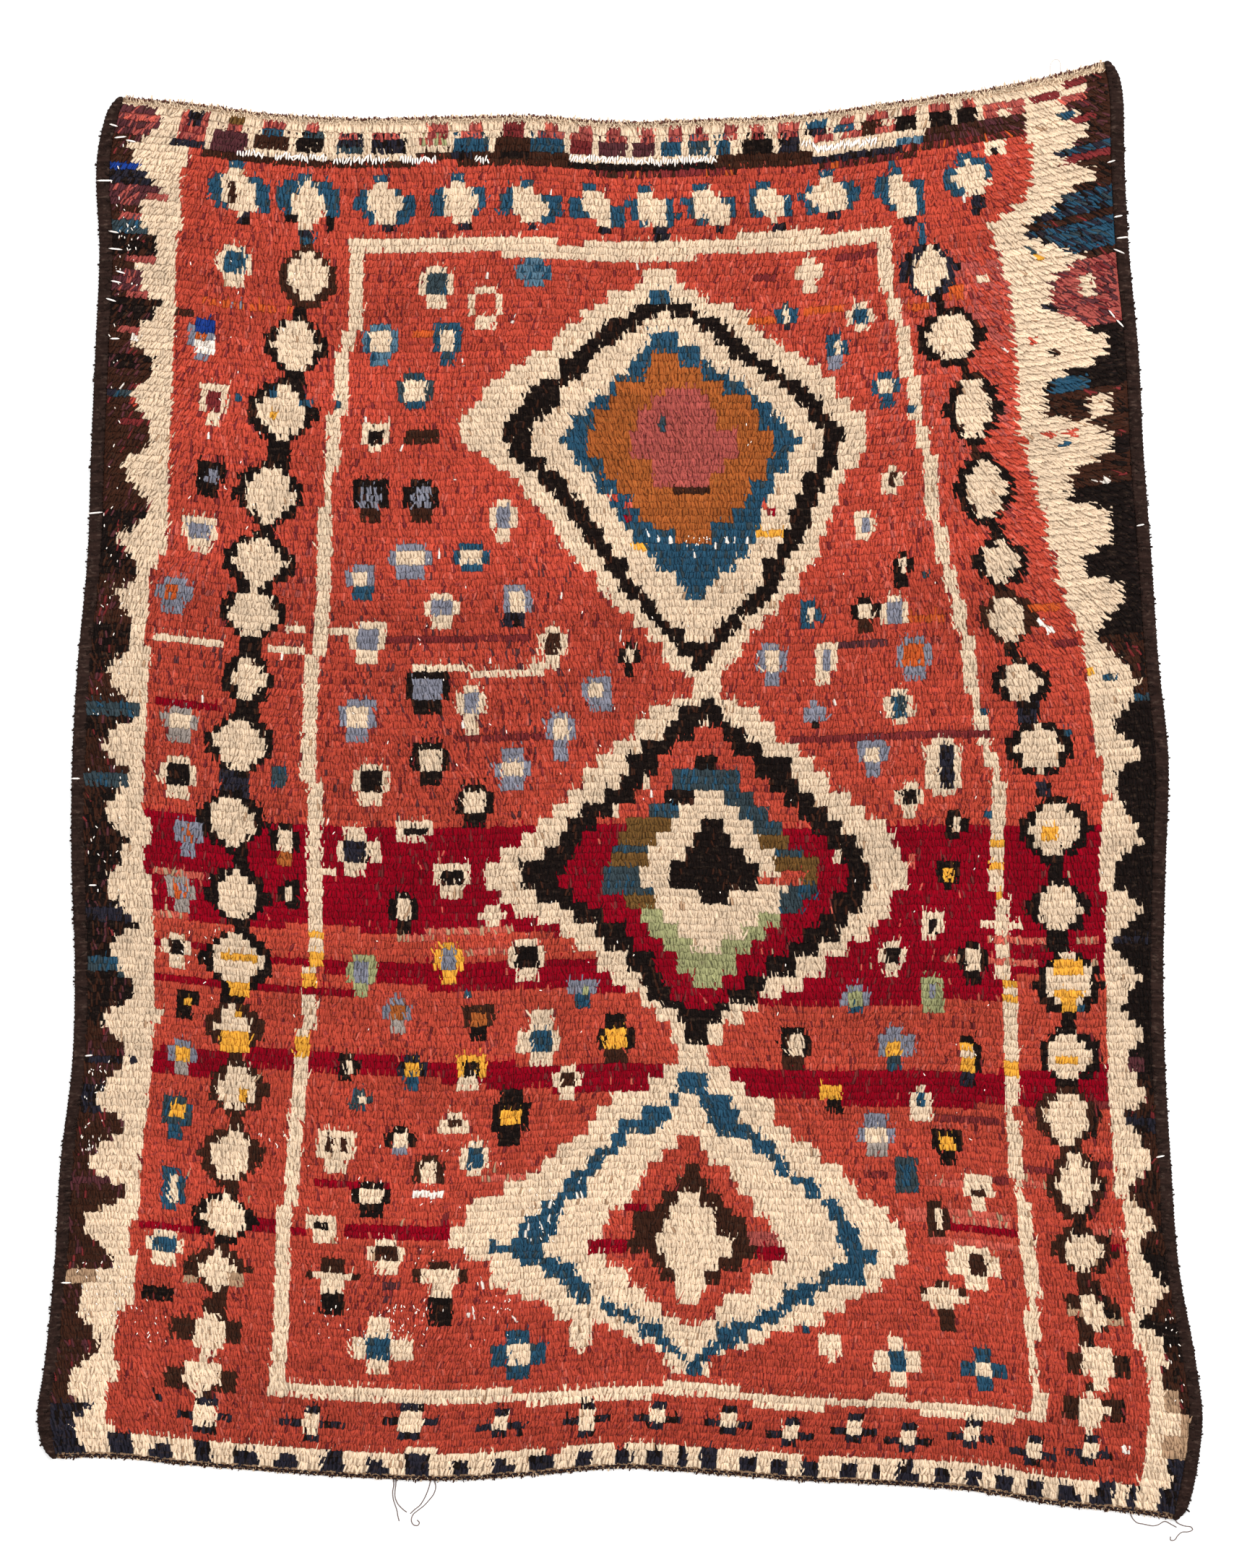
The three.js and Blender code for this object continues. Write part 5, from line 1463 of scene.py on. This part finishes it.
def strand_pieces(s, slot, names, lengths):
    """One slot's strands as pieces, cut into lengths down the rug"""
    chosen = is_yarn(s.yarn, *names)
    cuts = np.quantile(s.row[chosen], np.arange(lengths + 1) / lengths)
    for part in range(lengths):
        here = chosen & (s.row >= cuts[part]) & ((s.row < cuts[part + 1]) | (part == lengths - 1))
        dye_number = np.array([names.index(YARNS[k]) for k in s.yarn[here]]) + 0.5
        name = f"pile_{slot[5:]}" + (f"_{part + 1}" if lengths > 1 else "")
        piece = strand_mesh(
            name, s.root[here], s.direction[here], s.reach[here], s.width[here], s.height[here],
            s.foot[here], dye_number / len(names), s.shade[here])
        yield dress(piece, pile_material(slot, names), slot)


class RUG_OT_pile(Operator):
    """Knots the pile from the chart, each slot of yarns in its own pieces"""

    bl_idname = "rug.pile"
    bl_label = "Pile"

    def execute(self, context):
        rng = np.random.default_rng(11)
        strands = knot_strands(rng)
        lean_strands(strands, rng)
        shade_strands(strands, rng)
        pieces = []
        for slot, (names, lengths, _) in WOOLS.items():
            pieces += strand_pieces(strands, slot, names, lengths)
        outline = outline_points() * MM
        polygon_area(outline)
        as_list(pieces)
        return {"FINISHED"}


def outline_points():
    """The outline of the knotted part, once round, in millimetres"""
    share = np.linspace(0, 1, 80)
    zero, one = np.zeros(80), np.ones(80)
    sides = (plan(share, zero), plan(one, share), plan(share[::-1], one), plan(zero, share[::-1]))
    return np.concatenate([np.stack(side, 1) for side in sides])


def polygon_area(points):
    """The area inside a closed outline"""
    x, y = points[:, 0], points[:, 1]
    return float(abs(np.dot(x, np.roll(y, -1)) - np.dot(y, np.roll(x, -1))) / 2)


# The edge bindings: how a turn swells along it, how far turns slant, and where they calm down at an end
TURN = table("at swell", "0 -0.6 | 0.45 0.5")
TURN_SLANT = 1.4
TURN_SKEW = -1.6
CALM_END = 8
# How uneven the turns' heights and swells are, how uneven each corner is, and the tube's last ring
TURN_HEIGHTS, TURN_SWELLS = (0.7, 1.3), (0.6, 1.2)
CORNER_SWELL, CORNER_SHADE = 0.1, 0.12
LAST_SWELL, LAST_SHADE = -0.55, 0.5
# The bindings' loose strands: how many, how far from the ends, and how high they lie
FUZZ_STRANDS = 620
FUZZ_FROM_END = 12
FUZZ_TOP = 9.3
LOWEST = 0.05


def edge(side):
    """Which way a side faces, and its outline"""
    return (-1, left_outline) if side == "left" else (1, right_outline)


class RUG_OT_bindings(Operator):
    """Overcasts both long edges with brown wool, turn by turn"""

    bl_idname = "rug.bindings"
    bl_label = "Edge bindings"

    def execute(self, context):
        # The root shade of 0.5 paints shade in the grooves between the turns and at the roots of the fuzz
        # strands
        wool = plain_wool("Brown overcasting wool", colours().binding, 0.6, 0.5, 0.7)
        for side, rows, seed in (("left", LEFT_SIDE, 17), ("right", RIGHT_SIDE, 18)):
            top, bottom = rows[0].y, rows[-1].y
            rng = np.random.default_rng(seed)
            turns = overcast_turns(top, bottom, rng)
            piece = binding_mesh(f"selvedge_{side}_overcasting", side, top, bottom, turns, rng)
            dress(piece, wool, "binding_brown")
            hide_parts(f"selvedge_{side}")
            dress(binding_fuzz(f"selvedge_{side}_fuzz", side, top, bottom, rng), wool, "binding_brown")
        return {"FINISHED"}


def overcast_turns(top, bottom, rng):
    """The rings of a binding: how far down each is, how far it swells, and its shade"""
    turns = int((top - bottom) * MM / sizes().wrap_pitch)
    edges = np.cumsum(rng.uniform(*TURN_HEIGHTS, turns))
    edges = np.concatenate([[0], edges]) / edges[-1] * (top - bottom)
    tones = rng.uniform(0, 1, turns)
    rings = []
    for start, end, tone in zip(edges, edges[1:], tones):
        swell = rng.uniform(*TURN_SWELLS)
        rings += [(top - start - part.at * (end - start), part.swell * swell, tone) for part in TURN]
    return np.array([*rings, (bottom, LAST_SWELL, LAST_SHADE)]).T


def binding_fuzz(name, side, top, bottom, rng):
    """Worn strands of the overcasting that lie over the binding and out of it"""
    outward, outline = edge(side)
    count = FUZZ_STRANDS
    y = rng.uniform(bottom + FUZZ_FROM_END, top - FUZZ_FROM_END, count)
    depth = rng.uniform(1.5, BINDING_WIDTH, count)
    angle = rng.normal(0, 0.7, count)
    direction = np.stack([outward * np.cos(angle), np.sin(angle)], 1)
    root = np.stack([outline(y) - outward * depth, y], 1)
    reach = np.minimum(rng.uniform(3, 8, count), depth + 2.0)
    height = FUZZ_TOP - 3.2 * np.clip((6 - depth + reach) / 8, 0, 1)
    width = rng.uniform(1.6, 3.6, count)
    return strand_mesh(name, root, direction, reach, width, height, height - 1.4,
                       np.full(count, 0.5), rng.uniform(0, 1, count))


def binding_mesh(name, side, top, bottom, turns, rng):
    """A binding's tube, swollen and slanted where each turn of wool crosses it, with painted shade in the
    grooves between turns
    """
    outward, outline = edge(side)
    ring_y, ring_swell, ring_shade = turns
    across, up = column(BINDING_SECTION, "across"), column(BINDING_SECTION, "up")
    from_end = np.minimum(top - ring_y, ring_y - bottom)
    share = read(BINDING_ENDS, "from_end", "outer", from_end)[:, None]
    calm = np.clip(from_end / CALM_END, 0, 1)[:, None]
    slant = TURN_SLANT * (up - 0.5) * calm + (across - 0.5) * TURN_SKEW * calm
    swell = ring_swell[:, None] + rng.normal(0, CORNER_SWELL, (len(ring_y), len(up)))
    spread_across, spread_up = (across - 0.5) * BINDING_WIDTH, (up - 0.5) * BINDING_HEIGHT
    long = np.hypot(spread_across, spread_up)
    inner = outline(ring_y)[:, None] - outward * BINDING_WIDTH
    x = inner + outward * (BINDING_WIDTH * share * across + swell * spread_across / long)
    z = np.maximum(up * BINDING_HEIGHT + swell * spread_up / long, LOWEST)
    y = np.clip(ring_y[:, None] + slant, bottom, top)
    rings, corners = len(ring_y), len(up)
    number = np.arange(rings * corners).reshape(rings, corners)
    beside = np.roll(number, -1, axis=1)
    quads = np.stack([number[:-1], beside[:-1], beside[1:], number[1:]], -1).reshape(-1, 4)
    ends = [number[0][::-1], number[-1]]
    if side == "right":
        quads = quads[:, ::-1]
        ends = [end[::-1] for end in ends]
    # Painted shade: along follows the swell, so the grooves between turns and the tube's last ring darken
    # through the wool's root shade
    return build_mesh(
        name, np.stack([x, y, z], -1).reshape(-1, 3), [quads, np.array(ends)],
        shade=np.repeat(ring_shade, corners) + rng.normal(0, CORNER_SHADE, rings * corners),
        along=np.clip(0.75 + 0.45 * swell, 0, 1).ravel())


# The woven ends: the wefts of the plain web, and how its cut yarns stand out of it
WEFTS = table("end at height thick", """
    top 1.2 2.2 2.6 | top 3.8 2.6 2.8 | top 6.6 2.9 2.9 | bottom 1 2.3 2.4 | bottom 3.4 2.6 2.6""")
CUT_ENDS = table("end yarn each deepest longest low high", """
    top ivory 12 12 7 3.6 8 | top weft 5 3.2 4.4 4 7 | bottom warp 2 4 5 2.6 5 | bottom brown 6 5.5 5 3 6""")
WEB_SLOTS = {"ivory": "wool_ivory", "warp": "wool_ivory", "weft": "wool_dark", "brown": "wool_dark",
             "navy": "wool_dark"}


class RUG_OT_ends(Operator):
    """Lays the wefts of the plain woven ends, and the cut warps that stand out of them"""

    bl_idname = "rug.ends"
    bl_label = "Woven ends"

    def execute(self, context):
        for end, yarn in (("top", "warp"), ("bottom", "navy")):
            tubes = [weft_points(weft, k) for k, weft in enumerate(WEFTS) if weft.end == end]
            dress_web(tube_mesh(f"weft_{end}_{yarn}", tubes), yarn)
        for k, kind in enumerate(CUT_ENDS):
            dress_web(cut_ends(kind, np.random.default_rng(80 + k)), kind.yarn)
        return {"FINISHED"}


def dress_web(piece, yarn):
    """Gives a piece of the webs its wool"""
    dress(piece, plain_wool(f"{yarn.capitalize()} web wool", getattr(colours(), yarn)), WEB_SLOTS[yarn])


def end_line(end, across, inset):
    """A line along an end of the rug, that far in from it"""
    down = inset / RUG_LENGTH if end == "top" else 1 - inset / RUG_LENGTH
    return plan(across, np.full(np.shape(across), down))


def weft_points(weft, seed):
    """Middle line and half thickness of one weft, that bends over and under the warps"""
    rng = np.random.default_rng(60 + seed)
    steps = COLUMNS * 2 + 1
    x, y = end_line(weft.end, np.linspace(0.002, 0.998, steps), weft.at)
    over = np.cos((np.arange(steps) + seed) * np.pi)
    thick = weft.thick / 2 * (1 + 0.16 * over + rng.normal(0, 0.08, steps))
    return np.stack([x, y + rng.normal(0, 0.2, steps), weft.height + 0.5 * over], 1), thick


def tube_mesh(name, tubes, corners=4):
    """Tubes that run across the rug, joined in one mesh"""
    points, quads, caps, start = [], [], [], 0
    turn = np.arange(corners) * 2 * np.pi / corners + np.pi / 4
    ring = np.stack([np.zeros(corners), np.cos(turn), np.sin(turn)], 1)
    for middle, thick in tubes:
        body = middle[:, None] + ring * thick[:, None, None]
        body[..., 2] = np.maximum(body[..., 2], LOWEST)
        number = start + np.arange(len(middle) * corners).reshape(len(middle), corners)
        beside = np.roll(number, -1, axis=1)
        quads.append(np.stack([number[:-1], number[1:], beside[1:], beside[:-1]], -1).reshape(-1, 4))
        caps += [number[0], number[-1][::-1]]
        points.append(body.reshape(-1, 3))
        start += len(middle) * corners
    return build_mesh(name, np.concatenate(points), [np.concatenate(quads), np.array(caps)])


def cut_ends(kind, rng):
    """Cut warps and fuzz of one yarn over an end's web"""
    count = COLUMNS * int(kind.each)
    across = np.clip((np.arange(count) + rng.uniform(0, 1, count)) / count, 0.004, 0.996)
    x, y = end_line(kind.end, across, rng.uniform(0.6, kind.deepest, count))
    outward = 1 if kind.end == "top" else -1
    angle = rng.normal(0, 0.6, count)
    direction = np.stack([np.sin(angle), outward * np.cos(angle)], 1)
    reach = rng.uniform(2, kind.longest, count)
    width, height = rng.uniform(1.2, 2.8, count), rng.uniform(kind.low, kind.high, count)
    return strand_mesh(
        f"warp_ends_{kind.end}_{kind.yarn}", np.stack([x, y], 1) - direction, direction, reach, width,
        height, np.full(count, 2.2), np.full(count, 0.5), rng.uniform(0.1, 0.9, count))


# Repairs and wear: lines of stitches, stray ones with their turn and length, and worn patches
STITCHES = table("col col_end row gap", """
    18 22 4.9 0.4 | 23.5 31 4.8 0.38 | 32 40 4.9 0.4 | 41.5 46.6 5 0.36 | 52.4 54.4 5.2 0.36 |
    66 74 4.5 0.34 | 74 87 4.7 0.34 | 99.6 101.4 3.2 0.5 | 101.4 110.4 3.9 0.3""")
STRAY = table("col row turn long", """
    -0.3 3 -0.3 10 | 1 4.6 0.1 14 | 2.6 5 -0.2 12 | -0.6 10.8 0 18 | 0.2 18 -0.2 12 | 0.4 20.4 -0.1 16 |
    1.2 23.6 -0.3 11 | 0.6 25 -0.2 12 | 0 27.6 -0.3 12 | 0.8 33 0 11 | -1 57.6 0.1 18 | -1.2 95 0 10 |
    145 22.2 0.1 14 | 144.4 24 -0.4 14 | 142.6 32 -0.9 12 | 143.6 33.4 -0.8 12 | 144.6 19.4 0.2 10 |
    144 12.2 0.3 10 | 1 110 0 9 | 0.4 134 0.1 9 | 144.6 60 0.2 9 | 144.4 143 0.2 10 | 0 166 0 12""")
WORN = table("col row col_end row_end count", """
    41 166 47 171 34 | 54 165.5 58.5 169 12 | 9 168 14 174 14 | 0.4 134 3.4 150 34 | 1 163 9 171 40 |
    24 143 29 145 10 | 0.4 13 4.6 26 26 | 0 0 2 60 20 | 0.4 60 5 112 40 | 60 150 64 158 24 |
    80 58 85 59.4 14 | 12 115 18 120 10 | 38 158 60 172 24 | 9 20 30 60 26 | 110 100 124 150 14 |
    30 166 40 172 18 | 142 164 144 176 16 | 90 40 94 46 4 | 15 100 140 130 30 | 35 60 120 96 40 |
    30 140 60 160 20""")
STITCH_RINGS = table("at size drop", "-0.5 0.35 -0.9 | -0.28 1 -0.1 | 0.28 1 0 | 0.5 0.35 -0.9")
STITCH_CORNERS = 5
STRAY_HEIGHT, STITCH_HEIGHT, WORN_HEIGHT = 9.9, 9.6, 8.9
COTTON_THICK, WARP_THICK = 2.1, 1.3


class RUG_OT_repairs(Operator):
    """Sews the white cotton stitches along the top band and shows the warps where the pile is worn"""

    bl_idname = "rug.repairs"
    bl_label = "Repairs and wear"

    def execute(self, context):
        rng = np.random.default_rng(23)
        piece = stitch_mesh("cotton_stitches", [*stray_stitches(), *sewn_stitches(rng)], COTTON_THICK, rng)
        dress(piece, plain_wool("White cotton", colours().cotton, 0.15, 0.2, 0.5), "cotton_white")
        piece = stitch_mesh("worn_warps", worn_spots(rng), WARP_THICK, rng)
        dress(piece, plain_wool("Bare warp wool", colours().white, 0.2, 0.1, 0.5), "wool_ivory")
        return {"FINISHED"}


def stray_stitches():
    """Pale ends of thread on the bindings: each one's place, turn and length"""
    for stray in STRAY:
        col = np.clip(stray.col, 0, COLUMNS)
        x, y = knot_place(col, stray.row)
        yield x + 9 * (stray.col - col), y, STRAY_HEIGHT, stray.turn, stray.long


def sewn_stitches(rng):
    """The stitches of the sewn lines"""
    for line in STITCHES:
        for col in np.arange(line.col, line.col_end, line.gap):
            x, y = knot_place(col, line.row + rng.normal(0, 0.16))
            height = STITCH_HEIGHT + rng.normal(0, 0.2)
            yield x, y, height, rng.normal(1.45, 0.3), rng.uniform(6, 10.5)


def worn_spots(rng):
    """Short lengths of bare warp in the worn patches"""
    for patch in WORN:
        for _ in range(int(patch.count)):
            x, y = knot_place(rng.uniform(patch.col, patch.col_end), rng.uniform(patch.row, patch.row_end))
            height = WORN_HEIGHT + rng.normal(0, 0.3)
            yield x, y, height, rng.normal(1.57, 0.5), rng.uniform(1.8, 5)


def stitch_mesh(name, stitches, thick, rng):
    """Short rounded stitches, each turned in the plane of the rug"""
    x, y, z, turn, long = np.array([*stitches], float).T
    middle = np.stack([x, y, z], 1)
    corners, rings, count = STITCH_CORNERS, len(STITCH_RINGS), len(middle)
    ahead = np.stack([np.cos(turn), np.sin(turn), np.zeros(count)], 1)
    side = np.stack([-np.sin(turn), np.cos(turn), np.zeros(count)], 1)
    up = np.array([0, 0, 1.0])
    points = np.empty((count, rings * corners, 3))
    for k, ring in enumerate(STITCH_RINGS):
        centre = middle + ahead * (ring.at * long)[:, None] + up * ring.drop
        for m, angle in enumerate(np.arange(corners) * 2 * np.pi / corners):
            away = side * np.cos(angle) + up * np.sin(angle)
            points[:, k * corners + m] = centre + away * ring.size * thick / 2
    number = np.arange(count)[:, None] * rings * corners
    quads = []
    for a in range(0, (rings - 1) * corners, corners):
        for m in range(corners):
            n = (m + 1) % corners
            quads.append(number + np.array((a + m, a + n, a + corners + n, a + corners + m)))
    caps = [number + np.arange(corners)[::-1], number + np.arange(corners) + (rings - 1) * corners]
    return build_mesh(
        name, points.reshape(-1, 3), [np.concatenate(quads), np.concatenate(caps)],
        shade=np.repeat(rng.uniform(0, 1, count), rings * corners), along=np.ones(count * rings * corners))


# The floor and the light
FLOOR_HALF = 6000
LIGHTS = table("name x y z size power", """
    Key 4 2 5 3 330 | Fill -4 -1 5 4 200 | Top 0 4 5 3 130""")
SKY_STRENGTH = 0.62


class RUG_OT_stage(Operator):
    """Lays a plain pale floor and sets soft studio light"""

    bl_idname = "rug.stage"
    bl_label = "Floor and light"

    def execute(self, context):
        corners = np.array([(-1, -1, 0), (1, -1, 0), (1, 1, 0), (-1, 1, 0)])
        floor = build_mesh("floor", corners * FLOOR_HALF, [np.array([[0, 1, 2, 3]])])
        floor.data.materials.append(floor_material())
        for row in LIGHTS:
            data = bpy.data.lights.new(row.name, "AREA")
            data.size = row.size
            data.energy = row.power
            light = bpy.data.objects.new(row.name, data)
            light.location = (row.x, row.y, row.z)
            light.rotation_mode = "QUATERNION"
            light.rotation_quaternion = (-light.location).to_track_quat("-Z", "Y")
            context.scene.collection.objects.link(light)
        world = bpy.data.worlds.new("Studio")
        world.use_nodes = True
        sky = world.node_tree.nodes["Background"].inputs
        sky["Color"].default_value = (1, 1, 1, 1)
        sky["Strength"].default_value = SKY_STRENGTH
        context.scene.world = world
        context.scene.view_settings.view_transform = "Standard"
        return {"FINISHED"}


def floor_material():
    """Plain pale floor, with a faint grain"""
    material, tree, shader = new_material("Studio floor")
    shader.inputs["Sheen Weight"].default_value = 0
    grain = noise(tree, 30, 2)
    pale = colours().floor
    dim = [part * 0.985 for part in pale]
    feed(tree, shader.inputs["Base Color"], mix_colour(tree, "MIX", grain, (*dim, 1), (*pale, 1)))
    feed(tree, shader.inputs["Roughness"], math_node(tree, "MULTIPLY", grain, 1.6))
    return material


class RUG_PT_panel(Panel):
    """Steps that make the rug, in order"""

    bl_idname = "RUG_PT_panel"
    bl_label = "Gabbeh rug"
    bl_space_type = "VIEW_3D"
    bl_region_type = "UI"
    bl_category = "Rug"

    def draw(self, context):
        for step in STEPS:
            self.layout.operator(step.bl_idname)


STEPS = (
    RUG_OT_camera, RUG_OT_threads, RUG_OT_foundation, RUG_OT_pile, RUG_OT_bindings, RUG_OT_ends,
    RUG_OT_repairs, RUG_OT_stage,
)
CLASSES = (RugColours, RugSizes, *STEPS, RUG_PT_panel)


def register():
    for item in CLASSES:
        bpy.utils.register_class(item)
    bpy.types.Scene.rug_colours = PointerProperty(type=RugColours)
    bpy.types.Scene.rug_sizes = PointerProperty(type=RugSizes)


def unregister():
    del bpy.types.Scene.rug_sizes
    del bpy.types.Scene.rug_colours
    for item in reversed(CLASSES):
        bpy.utils.unregister_class(item)


def main():
    register()
    for step in STEPS:
        area, name = step.bl_idname.split(".")
        getattr(getattr(bpy.ops, area), name)()


if __name__ == "__main__":
    main()
